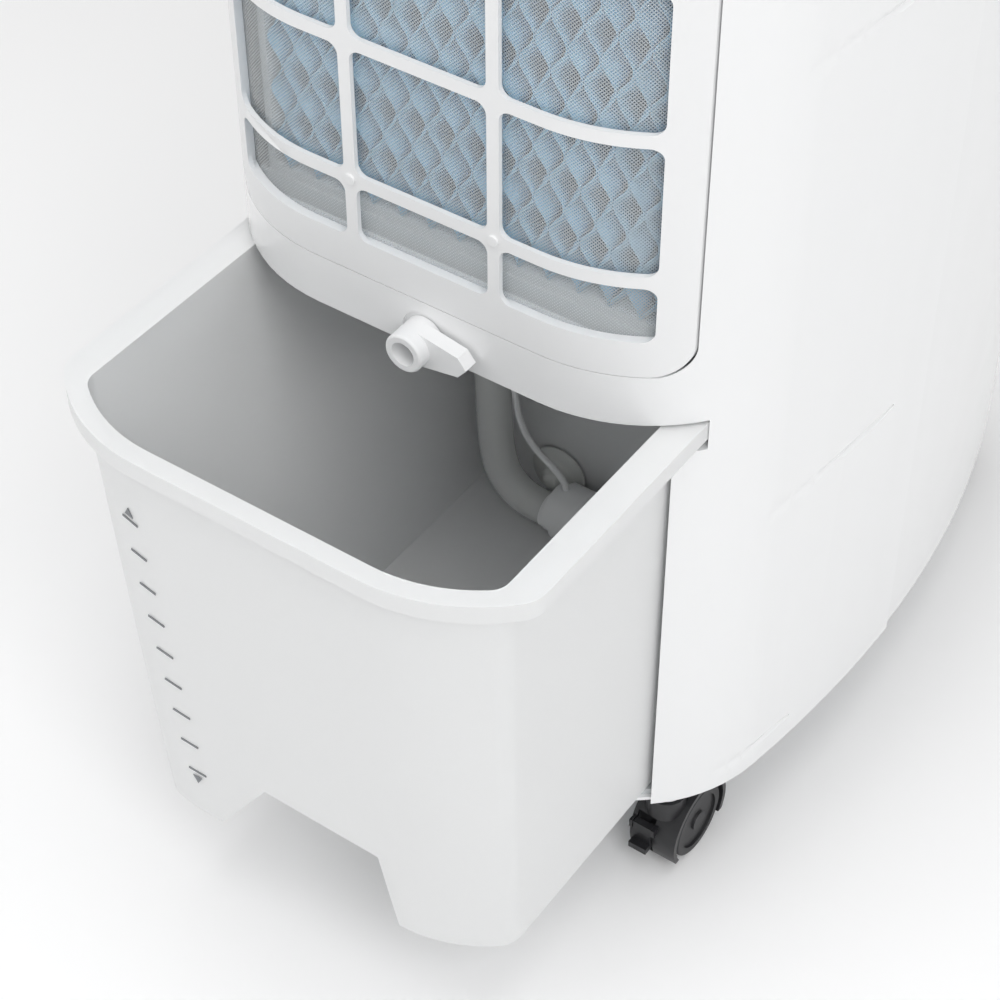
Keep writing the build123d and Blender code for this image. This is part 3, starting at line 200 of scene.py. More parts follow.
@dataclass(frozen=True)
class Moulded:
    """Moulded plastic or rubber: slight flow marks, a fine grain and a set gloss.

    Attributes:
        name: The material's name.
        colour: Middle colour.
        roughness: Middle roughness.
        drift: Share by which the colour drifts.
        flow: Size of the flow marks, in metres.
        grain: Size of the surface grain, in metres.
        relief: Depth of the grain, in metres.
        coat: Weight of a clear gloss on top.
        glow: Weight of light scattered inside.
        clear: Weight of light let through.
    """

    name: str
    colour: Colour
    roughness: float = 0.4
    drift: float = 0.02
    flow: float = 0.09
    grain: float = 0.0009
    relief: float = 0.000004
    coat: float = 0.0
    glow: float = 0.0
    clear: float = 0.0

    def material(self) -> bpy.types.Material:
        """Builds the material.

        Returns:
            The finished material.
        """
        shader = Shader(self.name)
        body = shader.add("ShaderNodeBsdfPrincipled")
        flow = shader.noise(self.flow, 3.0)
        dark = scaled(self.colour, 1.0 - self.drift)
        light = scaled(self.colour, 1.0 + self.drift)
        colour = shader.blend(flow, dark, light)
        shader.join(colour, body.inputs["Base Color"])
        shine = shader.between(flow, self.roughness * 0.85, self.roughness * 1.15)
        shader.join(shine, body.inputs["Roughness"])
        wave = shader.bump(shader.noise(self.flow * 0.4, 1.0), self.relief * 6.0)
        fine = shader.bump(shader.noise(self.grain, 2.0), self.relief, wave)
        shader.join(fine, body.inputs["Normal"])
        body.inputs["Coat Weight"].default_value = self.coat
        body.inputs["Coat Roughness"].default_value = 0.08
        body.inputs["Subsurface Weight"].default_value = self.glow
        body.inputs["Subsurface Radius"].default_value = (0.008, 0.008, 0.008)
        body.inputs["Transmission Weight"].default_value = self.clear
        body.inputs["IOR"].default_value = 1.47
        shader.join(body.outputs["BSDF"], shader.output.inputs["Surface"])
        return shader.material


@dataclass(frozen=True)
class Drawn:
    """Rolled or drawn metal with fine lines along one axis.

    Attributes:
        name: The material's name.
        colour: Colour of the metal.
        roughness: Middle roughness.
        stretch: Scale along each axis; the small one lies along the lines.
    """

    name: str
    colour: Colour
    roughness: float
    stretch: Point

    def material(self) -> bpy.types.Material:
        """Builds the material.

        Returns:
            The finished material.
        """
        shader = Shader(self.name)
        body = shader.add("ShaderNodeBsdfPrincipled", Metallic=1.0)
        lines = shader.noise(0.0006, 4.0, shader.stretched(self.stretch))
        colour = shader.blend(lines, scaled(self.colour, 0.8), scaled(self.colour, 1.15))
        shader.join(colour, body.inputs["Base Color"])
        shine = shader.between(lines, self.roughness * 0.7, self.roughness * 1.3)
        shader.join(shine, body.inputs["Roughness"])
        shader.join(shader.bump(lines, 0.00001), body.inputs["Normal"])
        shader.join(body.outputs["BSDF"], shader.output.inputs["Surface"])
        return shader.material


@dataclass(frozen=True)
class PadPaper:
    """Resin-stiffened cellulose sheet, dyed, with fibres and darker wet patches.

    Attributes:
        name: The material's name.
        colour: Dye colour.
        pale: Colour of the palest fibres.
    """

    name: str
    colour: Colour
    pale: Colour

    def material(self) -> bpy.types.Material:
        """Builds the material.

        Returns:
            The finished material.
        """
        shader = Shader(self.name)
        body = shader.add("ShaderNodeBsdfPrincipled", Roughness=0.75)
        fibres = shader.noise(0.0012, 5.0, shader.stretched((1.0, 1.0, 0.35)))
        patches = shader.noise(0.03, 2.0)
        dyed = shader.blend(fibres, scaled(self.colour, 0.75), self.pale)
        tint = shader.add("ShaderNodeMix", data_type="RGBA", blend_type="MULTIPLY")
        tint.inputs[0].default_value = 0.6
        shader.join(dyed, tint.inputs[6])
        shader.join(shader.blend(patches, (0.78, 0.84, 0.92), (1.0, 1.0, 1.0)), tint.inputs[7])
        shader.join(tint.outputs[2], body.inputs["Base Color"])
        shader.join(shader.bump(fibres, 0.0001), body.inputs["Normal"])
        body.inputs["Subsurface Weight"].default_value = 0.35
        body.inputs["Subsurface Radius"].default_value = (0.001, 0.002, 0.003)
        body.inputs["Sheen Weight"].default_value = 0.2
        shader.join(body.outputs["BSDF"], shader.output.inputs["Surface"])
        return shader.material


@dataclass(frozen=True)
class WovenScreen:
    """Open plain weave of fine thread, laid diagonally in its frame.

    Attributes:
        name: The material's name.
        colour: Colour of the thread.
        pitch: Distance between threads, in metres.
        turn: Angle of the weave from upright, in degrees.
        cover: Share of the light that the threads stop at the least.
    """

    name: str
    colour: Colour
    pitch: float = 0.0011
    turn: float = 45.0
    cover: float = 0.12

    def material(self) -> bpy.types.Material:
        """Builds the material on the sheet's own UV map, which is in metres.

        Returns:
            The finished material.
        """
        shader = Shader(self.name)
        body = shader.add("ShaderNodeBsdfPrincipled", Roughness=0.55)
        sheet = shader.add("ShaderNodeUVMap", uv_map="cloth")
        mapping = shader.add("ShaderNodeMapping")
        mapping.inputs["Rotation"].default_value = (0.0, 0.0, math.radians(self.turn))
        shader.join(sheet.outputs["UV"], mapping.inputs["Vector"])
        waves = []
        for axis in ("X", "Y"):
            wave = shader.add("ShaderNodeTexWave", wave_type="BANDS", bands_direction=axis)
            wave.inputs["Scale"].default_value = 0.314 / self.pitch
            wave.inputs["Distortion"].default_value = 0.0
            shader.join(mapping.outputs["Vector"], wave.inputs["Vector"])
            waves.append(wave.outputs["Fac"])
        threads = shader.add("ShaderNodeMath", operation="MAXIMUM")
        shader.join(waves[0], threads.inputs[0])
        shader.join(waves[1], threads.inputs[1])
        dirt = shader.noise(0.02, 3.0)
        colour = shader.blend(dirt, scaled(self.colour, 0.93), scaled(self.colour, 1.05))
        shader.join(colour, body.inputs["Base Color"])
        shader.join(shader.bump(threads.outputs[0], 0.0002), body.inputs["Normal"])
        cover = shader.add("ShaderNodeMapRange")
        cover.inputs["From Min"].default_value = 0.35
        cover.inputs["From Max"].default_value = 0.95
        cover.inputs["To Min"].default_value = self.cover
        cover.inputs["To Max"].default_value = 0.48
        shader.join(threads.outputs[0], cover.inputs["Value"])
        shader.join(cover.outputs["Result"], body.inputs["Alpha"])
        shader.join(body.outputs["BSDF"], shader.output.inputs["Surface"])
        return shader.material


@dataclass(frozen=True)
class CircuitBoard:
    """Green solder mask with copper tracks showing faintly under it."""

    name: str = "solder_mask"

    def material(self) -> bpy.types.Material:
        """Builds the material.

        Returns:
            The finished material.
        """
        shader = Shader(self.name)
        body = shader.add("ShaderNodeBsdfPrincipled", Roughness=0.3)
        tracks = shader.add("ShaderNodeTexBrick", Scale=90.0, Mortar_Size=0.06)
        tracks.inputs["Color1"].default_value = (0.02, 0.16, 0.06, 1.0)
        tracks.inputs["Color2"].default_value = (0.03, 0.2, 0.08, 1.0)
        tracks.inputs["Mortar"].default_value = (0.09, 0.3, 0.1, 1.0)
        shader.join(shader.place, tracks.inputs["Vector"])
        shader.join(tracks.outputs["Color"], body.inputs["Base Color"])
        shader.join(shader.bump(tracks.outputs["Fac"], 0.00003), body.inputs["Normal"])
        shader.join(body.outputs["BSDF"], shader.output.inputs["Surface"])
        return shader.material


class Finish(Enum):
    """Every finish on the cooler."""

    SHELL = Moulded("glossy_white_shell", (0.86, 0.865, 0.87), 0.2, 0.006, coat=0.35, relief=0.000002)
    TRIM = Moulded("satin_white_trim", (0.84, 0.845, 0.85), 0.42, 0.01, grain=0.0006, relief=0.000006)
    TANK = Moulded("frosted_tank", (0.94, 0.952, 0.955), 0.38, 0.012, glow=0.5, clear=0.22, relief=0.000004)
    INNER = Moulded("pale_inner_plastic", (0.62, 0.64, 0.65), 0.5, 0.03, relief=0.00001)
    PRINT = Moulded("grey_scale_print", (0.2, 0.21, 0.22), 0.6, 0.05)
    HOSE = Moulded("milky_hose", (0.82, 0.83, 0.82), 0.25, 0.03, glow=0.4, clear=0.3)
    LEAD = Moulded("lead_sheath", (0.8, 0.81, 0.81), 0.45, 0.02)
    RUBBER = Moulded("pale_soft_rubber", (0.74, 0.75, 0.73), 0.55, 0.04, relief=0.00001, glow=0.2)
    BLACK = Moulded("black_nylon", (0.018, 0.018, 0.02), 0.38, 0.25, grain=0.0007, relief=0.00001)
    TYRE = Moulded("black_wheel", (0.022, 0.022, 0.024), 0.5, 0.3, grain=0.0011, relief=0.00002)
    FAN = Moulded("grey_fan_plastic", (0.07, 0.075, 0.085), 0.45, 0.1)
    PANEL = Moulded("dark_panel", (0.03, 0.033, 0.04), 0.42, 0.08, coat=0.1)
    KEY = Moulded("grey_key", (0.34, 0.36, 0.38), 0.4, 0.04, relief=0.00001)
    ICON = Moulded("white_icon_print", (0.85, 0.86, 0.87), 0.5, 0.02)
    WINDOW = Moulded("smoked_window", (0.02, 0.022, 0.026), 0.2, 0.05, coat=0.2, clear=0.4)
    MOTOR = Drawn("rolled_motor_steel", (0.55, 0.56, 0.57), 0.35, (0.08, 1.0, 1.0))
    SCREW = Drawn("zinc_screw", (0.6, 0.61, 0.63), 0.3, (1.0, 1.0, 0.1))
    PAD = PadPaper("blue_pad_paper", (0.13, 0.42, 0.68), (0.46, 0.76, 0.92))
    SCREEN = WovenScreen("dust_screen_weave", (0.9, 0.94, 0.96))
    BOARD = CircuitBoard()

    def material(self) -> bpy.types.Material:
        """The finish's material, built on first use."""
        found = bpy.data.materials.get(self.value.name)
        return found or self.value.material()


# ------------------------------------------------------------------ making pieces
@dataclass
class Workshop:
    """Where finished pieces are dressed and attached.

    Attributes:
        nodes: The CAD nodes by name.
        made: Names of the pieces finished so far.
    """

    nodes: dict[str, bpy.types.Object]
    made: list[str] = field(default_factory=list)

    def dress(self, name: str, finish: Finish, edge: float = 0.0) -> bpy.types.Object:
        """Gives a CAD node its finish, smooth shading and small moulded edges.

        Args:
            name: The node.
            finish: Its finish.
            edge: Width of the rounded edges, in metres; none at 0.

        Returns:
            The node's object.
        """
        node = self.nodes[name]
        node.data.materials.clear()
        node.data.materials.append(finish.material())
        node.data.shade_smooth()
        weld = node.modifiers.new("weld", "WELD")
        weld.merge_threshold = 0.00002
        if edge > 0.0:
            bevel = node.modifiers.new("edge", "BEVEL")
            bevel.width = edge
            bevel.segments = 2
            bevel.limit_method = "ANGLE"
            bevel.angle_limit = math.radians(35.0)
            bevel.harden_normals = True
            bevel.use_clamp_overlap = True
        split = node.modifiers.new("creases", "EDGE_SPLIT")
        split.split_angle = math.radians(38.0)
        split.use_edge_sharp = False
        even = node.modifiers.new("even", "WEIGHTED_NORMAL")
        even.mode = "FACE_AREA"
        even.keep_sharp = True
        self.report(name)
        return node

    def add(
        self, name: str, mesh: bmesh.types.BMesh, finish: Finish, body: str, smooth: bool = True
    ) -> bpy.types.Object:
        """Turns a bmesh into a piece that rides on a body.

        Args:
            name: The piece's name.
            mesh: Its shape, in place; it is freed.
            finish: Its finish.
            body: The body that it moves with, or "" for none.
            smooth: Whether its faces are shaded smooth.

        Returns:
            The new object.
        """
        data = bpy.data.meshes.new(name)
        for face in mesh.faces:
            face.smooth = smooth
        mesh.to_mesh(data)
        mesh.free()
        piece = bpy.data.objects.new(name, data)
        bpy.context.scene.collection.objects.link(piece)
        data.materials.append(finish.material())
        if body:
            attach(piece, body)
        self.report(name)
        return piece

    def report(self, name: str) -> None:
        """Counts a finished piece and logs its name."""
        self.made.append(name)
        LOG.info("piece %d: %s", len(self.made), name)


def lathe(
    profile: Sequence[tuple[float, float]], centre: Vector, axis: Vector, steps: int
) -> bmesh.types.BMesh:
    """Turned shape: a profile of (distance along the axis, radius) spun round.

    Args:
        profile: Points from one end to the other; both ends lie on the axis.
        centre: Where distance 0 is.
        axis: Direction of the axis.
        steps: Segments round the turn.

    Returns:
        A closed bmesh with faces outwards.
    """
    mesh = bmesh.new()
    across = axis.orthogonal().normalized()
    along = axis.normalized()
    verts = [mesh.verts.new(centre + along * reach + across * radius) for reach, radius in profile]
    edges = [mesh.edges.new(pair) for pair in zip(verts, verts[1:])]
    bmesh.ops.spin(
        mesh, geom=verts + edges, cent=centre, axis=along, angle=math.tau, steps=steps, use_merge=True
    )
    bmesh.ops.remove_doubles(mesh, verts=mesh.verts, dist=0.00001)
    bmesh.ops.recalc_face_normals(mesh, faces=mesh.faces)
    return mesh


def bar(mesh: bmesh.types.BMesh, start: Vector, end: Vector, width: float, height: float) -> None:
    """Adds a flat printed stroke between two points of a level surface.

    Args:
        mesh: The bmesh to add to.
        start: One end, on the surface.
        end: The other end.
        width: Width of the stroke.
        height: How far it stands up.
    """
    run = end - start
    turn = Matrix.Rotation(math.atan2(run.y, run.x), 4, "Z")
    middle = (start + end) / 2.0 + Vector((0.0, 0.0, height / 2.0))
    size = Matrix.Diagonal((run.length + width * 0.6, width, height, 1.0))
    bmesh.ops.create_cube(mesh, size=1.0, matrix=Matrix.Translation(middle) @ turn @ size)


def smooth_line(name: str, points: Sequence[Point], radius: float) -> tuple[bpy.types.Mesh, list[Vector]]:
    """A round tube along a smooth line, and points along that line.

    Args:
        name: Name of the tube's mesh.
        points: Control points of the line.
        radius: Radius of the tube.

    Returns:
        The tube's mesh and the line's points.
    """
    curve = bpy.data.curves.new(name, "CURVE")
    curve.dimensions = "3D"
    spline = curve.splines.new("NURBS")
    spline.points.add(len(points) - 1)
    for control, point in zip(spline.points, points):
        control.co = (*point, 1.0)
    spline.order_u = 3
    spline.use_endpoint_u = True
    spline.resolution_u = 10
    holder = bpy.data.objects.new(name, curve)
    line = bpy.data.meshes.new_from_object(holder)
    path = [vertex.co.copy() for vertex in line.vertices]
    curve.bevel_depth = radius
    curve.bevel_resolution = 7
    curve.use_fill_caps = True
    tube = bpy.data.meshes.new_from_object(holder)
    bpy.data.meshes.remove(line)
    bpy.data.objects.remove(holder)
    bpy.data.curves.remove(curve)
    return tube, path


# ------------------------------------------------------------------ sub-assemblies
@dataclass
class RearPlan:
    """Plan of the housing's rear: a flat stretch and a large corner each side.

    Attributes:
        face_y: Place of the flat rear face.
        flat: Half width of the flat stretch.
        corner: Radius of the corners.
    """

    face_y: float
    flat: float = 0.055
    corner: float = 0.080

    def along(self, reach: float, inset: float) -> tuple[float, float]:
        """The point at a distance along the bowed rear, measured from its middle.

        Args:
            reach: Signed distance along the surface.
            inset: How far inside the housing's face the surface lies.

        Returns:
            Its x and y.
        """
        side = math.copysign(1.0, reach)
        past = abs(reach) - self.flat
        if past <= 0.0:
            return reach, self.face_y - inset
        radius = self.corner - inset
        turn = past / radius
        x = self.flat + radius * math.sin(turn)
        y = self.face_y - self.corner + radius * math.cos(turn)
        return side * x, y

    def reach_of(self, x: float, inset: float) -> float:
        """Distance along the surface to a given x."""
        radius = self.corner - inset
        return self.flat + radius * math.asin((x - self.flat) / radius)


@dataclass
class Housing:
    """Shells, lid, base pan and the bay inside.

    Attributes:
        edge: Width of the moulded edges.
    """

    edge: float = 0.0007

    def build(self, shop: Workshop) -> None:
        """Dresses the housing's CAD nodes.

        Args:
            shop: Where pieces are finished.
        """
        for name in ("rear_shell", "front_shell", "top_cover"):
            shop.dress(name, Finish.SHELL, self.edge)
        for name in ("bay_wall_left", "bay_wall_right", "bay_back_wall", "bay_deck", "base_pan"):
            shop.dress(name, Finish.INNER, self.edge / 2.0)
        shop.dress("base_screws", Finish.SCREW)
        shop.dress("cord_gland", Finish.RUBBER, self.edge / 2.0)


@dataclass
class AirFilter:
    """Removable filter: moulded frame and the cloth stretched behind its windows.

    Attributes:
        margin: How far the cloth lies inside the rear face of its CAD solid.
        bow_steps: Divisions of the cloth across its bow.
        rows: Divisions of the cloth upwards.
    """

    margin: float = 0.0002
    bow_steps: int = 48
    rows: int = 24

    def build(self, shop: Workshop, plan: RearPlan) -> None:
        """Dresses the frame and makes the screen.

        Args:
            shop: Where pieces are finished.
            plan: The housing's rear.
        """
        shop.dress("filter_frame", Finish.TRIM, 0.0011)
        low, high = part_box("filter_mesh")
        inset = plan.face_y - high.y + self.margin
        reach = plan.reach_of(high.x, inset)
        tall = high.z - low.z
        mesh = bmesh.new()
        bmesh.ops.create_grid(mesh, x_segments=self.bow_steps, y_segments=self.rows, size=0.5)
        cloth = mesh.loops.layers.uv.new("cloth")
        for face in mesh.faces:
            for loop in face.loops:
                flat = loop.vert.co
                loop[cloth].uv = (flat.x * 2.0 * reach, flat.y * tall)
        for vertex in mesh.verts:
            x, y = plan.along(vertex.co.x * 2.0 * reach, inset)
            vertex.co = (x, y, low.z + tall * (vertex.co.y + 0.5))
        bmesh.ops.recalc_face_normals(mesh, faces=mesh.faces)
        screen = shop.add("dust_screen", mesh, Finish.SCREEN, "filter")
        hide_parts("filter_mesh")


@dataclass
class CoolingPad:
    """Block of corrugated paper sheets glued back to back, in its frame.

    Attributes:
        pitch: Distance between sheets.
        wave: Length of one wave up the sheet.
        swing: Share of half the pitch that a wave uses.
        lean: How far the flutes climb for each metre of depth.
        paper: Thickness of the paper.
        steps: Divisions of each wave.
        sway: How far the waves wander from sheet to sheet, in radians.
    """

    pitch: float = 0.0072
    wave: float = 0.0245
    swing: float = 0.94
    lean: float = 0.55
    paper: float = 0.0005
    steps: int = 9
    sway: float = 0.12

    def build(self, shop: Workshop) -> None:
        """Makes the paper block and dresses what holds and wets it.

        Args:
            shop: Where pieces are finished.
        """
        low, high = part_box("cooling_pad")
        wide = high.x - low.x
        count = int(wide / self.pitch)
        mesh = bmesh.new()
        tall = high.z - low.z
        steps = int(tall / self.wave * self.steps)
        for number in range(count):
            side = 1 if number % 2 else -1
            middle = low.x + wide * (number + 0.5) / count
            grid = bmesh.ops.create_grid(mesh, x_segments=6, y_segments=steps, size=0.5)
            for vertex in grid["verts"]:
                deep = vertex.co.x + 0.5
                up = vertex.co.y + 0.5
                self.place(vertex, low, high, middle, deep, up, side)
        pad = shop.add("pad_sheets", mesh, Finish.PAD, "housing")
        wall = pad.modifiers.new("paper", "SOLIDIFY")
        wall.thickness = self.paper
        wall.offset = 0.0
        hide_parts("cooling_pad")
        shop.dress("pad_frame", Finish.INNER, 0.0008)
        shop.dress("drip_tray", Finish.INNER, 0.0006)
        shop.dress("water_distributor", Finish.INNER, 0.0005)

    def place(
        self,
        vertex: bmesh.types.BMVert,
        low: Vector,
        high: Vector,
        middle: float,
        deep: float,
        up: float,
        side: int,
    ) -> None:
        """Puts one point of a sheet on its wave.

        Args:
            vertex: The point to move.
            low: The pad's lowest corner.
            high: The pad's highest corner.
            middle: The sheet's own x.
            deep: Share of the depth, from the front.
            up: Share of the height.
            side: 1 or -1, by turns, so that neighbours meet crest to crest.
        """
        y = low.y + (high.y - low.y) * deep
        z = low.z + (high.z - low.z) * up
        climb = (high.y - y) * self.lean * side
        turn = math.tau * (z + climb) / self.wave
        sway = self.sway * math.sin(z * 61.0 + middle * 140.0)
        reach = self.pitch / 2.0 * self.swing
        vertex.co = (middle + side * reach * math.sin(turn + sway), y, z)


@dataclass
class WaterTank:
    """Water tank with its scale, pump, suction cup, hose and lead.

    Attributes:
        hose_r: Outer radius of the hose.
        lead_r: Radius of the lead.
        bend_top: Not used; the height below which a hose or lead would start to follow the tank.
        bend_low: Not used; the height below which a hose or lead would follow the tank fully.
    """

    hose_r: float = 0.009
    lead_r: float = 0.0017
    bend_top: float = 0.262
    bend_low: float = 0.100

    def build(self, shop: Workshop, plan: RearPlan) -> None:
        """Dresses the tank and the pump, and makes the cup, the hose and the lead.

        Args:
            shop: Where pieces are finished.
            plan: The housing's rear, which the hose's route is measured from.
        """
        shop.dress("tank", Finish.TANK, 0.0013)
        shop.dress("level_marks", Finish.PRINT)
        shop.dress("pump", Finish.TRIM, 0.0008)
        shop.dress("hose_spigot", Finish.INNER, 0.0005)
        shop.dress("tank_latch", Finish.TRIM, 0.0007)
        self.cup(shop)
        self.hose(shop, plan)
        self.lead(shop, plan)

    def cup(self, shop: Workshop) -> None:
        """Makes the suction cup with its thin lip and ribbed boss.

        Args:
            shop: Where pieces are finished.
        """
        low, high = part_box("pump_cup")
        radius = (high.x - low.x) / 2.0
        centre = Vector(((low.x + high.x) / 2.0, low.y, (low.z + high.z) / 2.0))
        deep = high.y - low.y
        profile = [
            (0.0016, 0.0), (0.0012, radius * 0.5), (0.0, radius * 0.97), (0.0007, radius),
            (0.0016, radius * 0.96), (0.0024, radius * 0.6), (0.0034, radius * 0.42),
            (deep * 0.55, radius * 0.36),
            (deep * 0.62, radius * 0.42), (deep * 0.72, radius * 0.42), (deep * 0.78, radius * 0.3),
            (deep * 0.96, radius * 0.28), (deep, radius * 0.22), (deep, 0.0),
        ]
        mesh = lathe(profile, centre, Vector((0.0, 1.0, 0.0)), 64)
        cup = shop.add("suction_cup", mesh, Finish.RUBBER, "tank")
        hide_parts("pump_cup")

    def hose(self, shop: Workshop, plan: RearPlan) -> None:
        """Makes the hose from the deck to the pump's nozzle.

        Args:
            shop: Where pieces are finished.
            plan: The housing's rear.
        """
        rear = plan.face_y
        route = [
            (0.060, rear - 0.132, 0.289),
            (0.060, rear - 0.132, 0.238),
            (0.0614, rear - 0.1314, 0.188),
            (0.060, rear - 0.132, 0.141),
            (0.0598, rear - 0.1328, 0.121),
            (0.059, rear - 0.133, 0.106),
            (0.0566, rear - 0.1332, 0.0925),
            (0.0524, rear - 0.1334, 0.0841),
            (0.0458, rear - 0.1334, 0.0784),
            (0.0375, rear - 0.1334, 0.0756),
            (0.028, rear - 0.1334, 0.0756),
        ]
        self.limp(shop, "water_hose", route, self.hose_r, Finish.HOSE, "pump_hose")

    def lead(self, shop: Workshop, plan: RearPlan) -> None:
        """Makes the pump's thin lead.

        Args:
            shop: Where pieces are finished.
            plan: The housing's rear.
        """
        rear = plan.face_y
        route = [
            (0.047, rear - 0.132, 0.289),
            (0.047, rear - 0.132, 0.245),
            (0.0485, rear - 0.131, 0.200),
            (0.0475, rear - 0.1305, 0.155),
            (0.042, rear - 0.131, 0.120),
            (0.017, rear - 0.1334, 0.1016),
            (0.017, rear - 0.1334, 0.0956),
        ]
        self.limp(shop, "pump_cable", route, self.lead_r, Finish.LEAD, "pump_lead")

    def limp(
        self,
        shop: Workshop,
        name: str,
        route: Sequence[Point],
        radius: float,
        finish: Finish,
        node: str,
    ) -> None:
        """Makes a hose or lead as a fixed tube.

        Args:
            shop: Where pieces are finished.
            name: The piece's name.
            route: Control points of its line, from the deck down.
            radius: Its radius.
            finish: Its finish.
            node: The CAD node that it stands for.
        """
        tube, path = smooth_line(name, route, radius)
        tube.materials.clear()
        tube.materials.append(finish.material())
        tube.shade_smooth()
        piece = bpy.data.objects.new(name, tube)
        bpy.context.scene.collection.objects.link(piece)
        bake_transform(piece)
        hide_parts(node)
        shop.report(name)


@dataclass
class AirOutlet:
    """Outlet tunnel with its louvres, vanes, links and swing motor.

    Attributes:
        blades: Number of louvres, and of vanes.
    """

    blades: int = 5

    def build(self, shop: Workshop) -> None:
        """Dresses the outlet's CAD nodes.

        Args:
            shop: Where pieces are finished.
        """
        shop.dress("outlet_frame", Finish.TRIM, 0.0006)
        for number in range(1, self.blades + 1):
            shop.dress(f"louvre_{number}", Finish.TRIM, 0.0002)
            shop.dress(f"vane_{number}", Finish.TRIM, 0.0002)
        shop.dress("louvre_link", Finish.INNER, 0.0002)
        shop.dress("vane_link", Finish.INNER, 0.0002)
        shop.dress("swing_motor", Finish.MOTOR, 0.0004)


@dataclass
class Blower:
    """Cross-flow rotor, its casing, motor and bracket.

    Attributes:
        edge: Width of the rounded edges.
    """

    edge: float = 0.0004

    def build(self, shop: Workshop) -> None:
        """Dresses the blower's CAD nodes.

        Args:
            shop: Where pieces are finished.
        """
        shop.dress("blower_wheel", Finish.FAN)
        shop.dress("blower_casing", Finish.FAN, self.edge)
        shop.dress("blower_motor", Finish.MOTOR, self.edge)
        shop.dress("motor_bracket", Finish.MOTOR, self.edge)


class Icon(Enum):
    """Generic symbol on each key: strokes in a unit square, as pairs of ends."""

    power = (((0.0, 0.05), (0.0, 0.5)), ((-0.3, 0.3), (-0.42, 0.0)), ((-0.42, 0.0), (-0.25, -0.35)),
             ((-0.25, -0.35), (0.25, -0.35)), ((0.25, -0.35), (0.42, 0.0)), ((0.42, 0.0), (0.3, 0.3)))
    speed = (((-0.35, -0.35), (-0.35, -0.1)), ((0.0, -0.35), (0.0, 0.1)), ((0.35, -0.35), (0.35, 0.35)))
    mode = (((-0.35, -0.3), (0.35, -0.3)), ((0.35, -0.3), (0.0, 0.35)), ((0.0, 0.35), (-0.35, -0.3)))
    swing = (((-0.45, 0.0), (0.45, 0.0)), ((-0.45, 0.0), (-0.2, 0.22)), ((-0.45, 0.0), (-0.2, -0.22)),
             ((0.45, 0.0), (0.2, 0.22)), ((0.45, 0.0), (0.2, -0.22)))
    timer = (((-0.3, 0.4), (0.3, 0.4)), ((0.3, 0.4), (-0.3, -0.4)), ((-0.3, -0.4), (0.3, -0.4)),
             ((0.3, -0.4), (-0.3, 0.4)))


@dataclass
class ControlTop:
    """Control panel with its window, board and keys.

    Attributes:
        icon_size: Size of the printed symbols.
        icon_line: Width of their strokes.
        print_height: Thickness of the print.
    """

    icon_size: float = 0.006
    icon_line: float = 0.0007
    print_height: float = 0.00006

    def build(self, shop: Workshop) -> None:
        """Dresses the panel and prints a symbol on each key.

        Args:
            shop: Where pieces are finished.
        """
        shop.dress("control_panel", Finish.PANEL, 0.0004)
        shop.dress("display_window", Finish.WINDOW, 0.0002)
        shop.dress("control_board", Finish.BOARD)
        for icon in Icon:
            key = f"button_{icon.name}"
            shop.dress(key, Finish.KEY, 0.0003)
            self.symbol(shop, icon, key)

    def symbol(self, shop: Workshop, icon: Icon, key: str) -> None:
        """Prints one symbol on its key.

        Args:
            shop: Where pieces are finished.
            icon: The symbol.
            key: The key's node, and its body.
        """
        low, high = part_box(key)
        centre = Vector(((low.x + high.x) / 2.0, (low.y + high.y) / 2.0, high.z - self.print_height))
        mesh = bmesh.new()
        for start, end in icon.value:
            first = centre + Vector((*start, 0.0)) * self.icon_size
            last = centre + Vector((*end, 0.0)) * self.icon_size
            bar(mesh, first, last, self.icon_line, self.print_height)
        print_piece = shop.add(f"icon_{icon.name}", mesh, Finish.ICON, key, smooth=False)


@dataclass
class Casters:
    """Four twin-wheel casters; the rear ones have brakes.

    Attributes:
        edge: Width of the moulded edges.
    """

    edge: float = 0.0006

    def build(self, shop: Workshop) -> None:
        """Dresses each caster's CAD nodes.

        Args:
            shop: Where pieces are finished.
        """
        for place in ("rear_left", "rear_right", "front_left", "front_right"):
            shop.dress(f"caster_{place}_hood", Finish.BLACK, self.edge)
            shop.dress(f"caster_{place}_wheels", Finish.TYRE, self.edge / 2.0)
            if place.startswith("rear"):
                shop.dress(f"caster_{place}_brake", Finish.BLACK, self.edge)


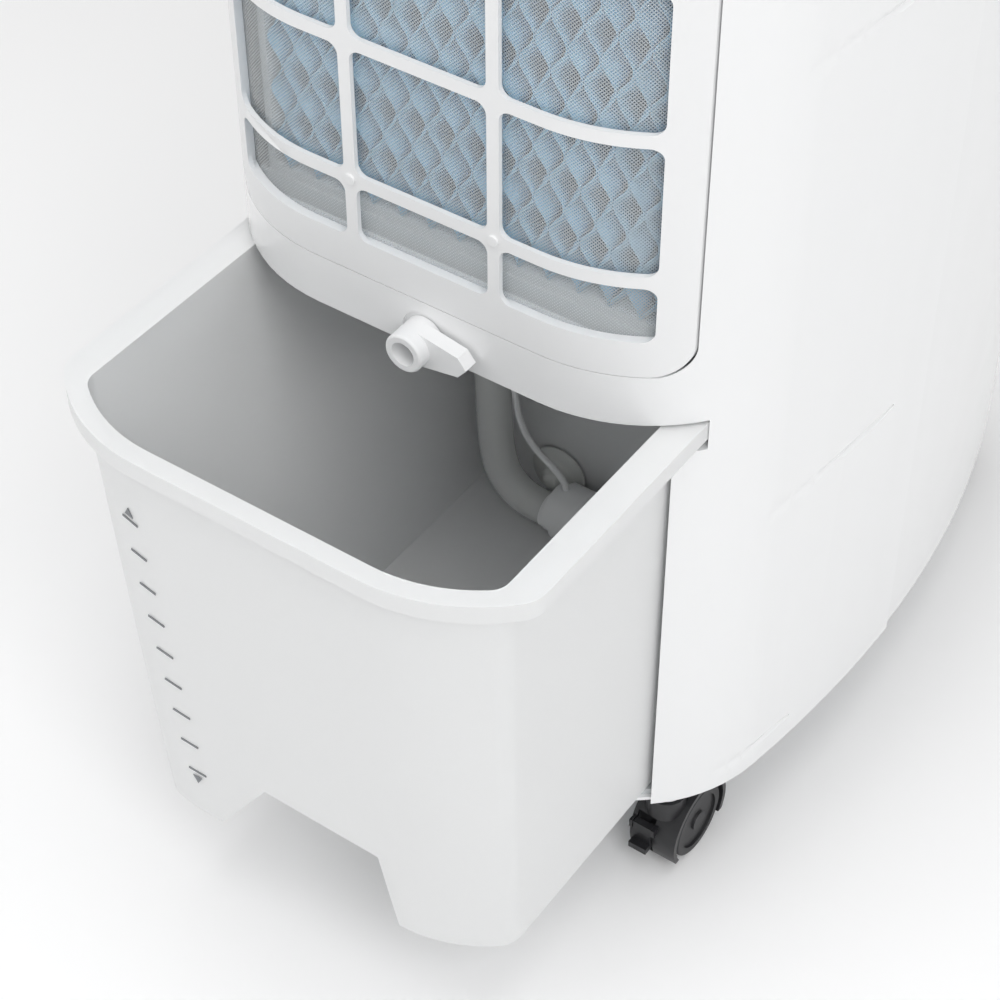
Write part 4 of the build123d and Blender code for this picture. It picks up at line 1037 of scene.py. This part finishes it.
@dataclass
class Studio:
    """Camera, white floor and soft lights.

    Attributes:
        eye: Where the camera stands.
        turn: Heading of the camera from -Y towards +X, in degrees.
        dip: How far it looks down, in degrees.
        roll: Its roll, in degrees.
        lens: Focal length on a 36 mm sensor.
    """

    eye: Point = (-0.457, 0.7443, 0.929)
    turn: float = 35.26
    dip: float = 44.10
    roll: float = -0.27
    lens: float = 86.9

    def camera(self) -> None:
        """Makes the scene's camera."""
        data = bpy.data.cameras.new("camera")
        data.sensor_width = 36.0
        data.lens = self.lens
        data.clip_start = 0.02
        data.clip_end = 50.0
        camera = bpy.data.objects.new("camera", data)
        heading, dip = math.radians(self.turn), math.radians(self.dip)
        look = Vector((
            math.sin(heading) * math.cos(dip), -math.cos(heading) * math.cos(dip), -math.sin(dip)
        ))
        facing = look.to_track_quat("-Z", "Y")
        camera.rotation_mode = "QUATERNION"
        lean = Matrix.Rotation(math.radians(self.roll), 4, "Z").to_quaternion()
        camera.rotation_quaternion = facing @ lean
        camera.location = self.eye
        bpy.context.scene.collection.objects.link(camera)
        bpy.context.scene.camera = camera

    def lamp(self, name: str, place: Point, target: Point, size: float, power: float) -> None:
        """Adds a soft square lamp.

        Args:
            name: The lamp's name.
            place: Where it hangs.
            target: Where it points.
            size: Its side, in metres.
            power: Its power, in watts.
        """
        data = bpy.data.lights.new(name, "AREA")
        data.size = size
        data.energy = power
        lamp = bpy.data.objects.new(name, data)
        lamp.location = place
        aim = Vector(target) - Vector(place)
        lamp.rotation_mode = "QUATERNION"
        lamp.rotation_quaternion = aim.to_track_quat("-Z", "Y")
        bpy.context.scene.collection.objects.link(lamp)

    def floor(self) -> None:
        """Makes the pale floor."""
        mesh = bmesh.new()
        bmesh.ops.create_grid(mesh, x_segments=1, y_segments=1, size=6.0)
        data = bpy.data.meshes.new("floor")
        mesh.to_mesh(data)
        mesh.free()
        floor = bpy.data.objects.new("floor", data)
        shader = Shader("white_floor")
        body = shader.add("ShaderNodeBsdfPrincipled")
        tone = shader.noise(0.8, 2.0)
        shader.join(shader.blend(tone, (0.93, 0.93, 0.935), (0.96, 0.96, 0.96)), body.inputs["Base Color"])
        shader.join(shader.between(tone, 0.32, 0.4), body.inputs["Roughness"])
        shader.join(body.outputs["BSDF"], shader.output.inputs["Surface"])
        data.materials.append(shader.material)
        bpy.context.scene.collection.objects.link(floor)

    def build(self) -> None:
        """Sets up the whole studio."""
        self.camera()
        self.floor()
        world = bpy.data.worlds.new("studio")
        world.use_nodes = True
        sky = world.node_tree.nodes["Background"]
        sky.inputs["Color"].default_value = (1.0, 1.0, 1.0, 1.0)
        sky.inputs["Strength"].default_value = 0.6
        bpy.context.scene.world = world
        bpy.context.scene.view_settings.view_transform = "Standard"
        self.lamp("key", (-1.6, 1.2, 2.0), (0.0, 0.1, 0.35), 1.4, 23.0)
        self.lamp("fill", (1.8, 1.6, 1.5), (0.0, 0.1, 0.3), 1.6, 8.5)
        self.lamp("top", (0.0, 0.2, 2.4), (0.0, 0.0, 0.3), 1.8, 17.0)


def main() -> None:
    """Builds every sub-assembly round the frame and logs the number of pieces."""
    logging.basicConfig(level=logging.INFO, format="%(name)s: %(message)s")
    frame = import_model()
    plan = RearPlan(face_y=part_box("rear_shell")[1].y)
    shop = Workshop(frame["nodes"])
    Studio().build()
    WaterTank().build(shop, plan)
    CoolingPad().build(shop)
    AirFilter().build(shop, plan)
    Housing().build(shop)
    AirOutlet().build(shop)
    Blower().build(shop)
    ControlTop().build(shop)
    Casters().build(shop)
    LOG.info("%d pieces", len(shop.made))


if __name__ == "__main__":
    main()
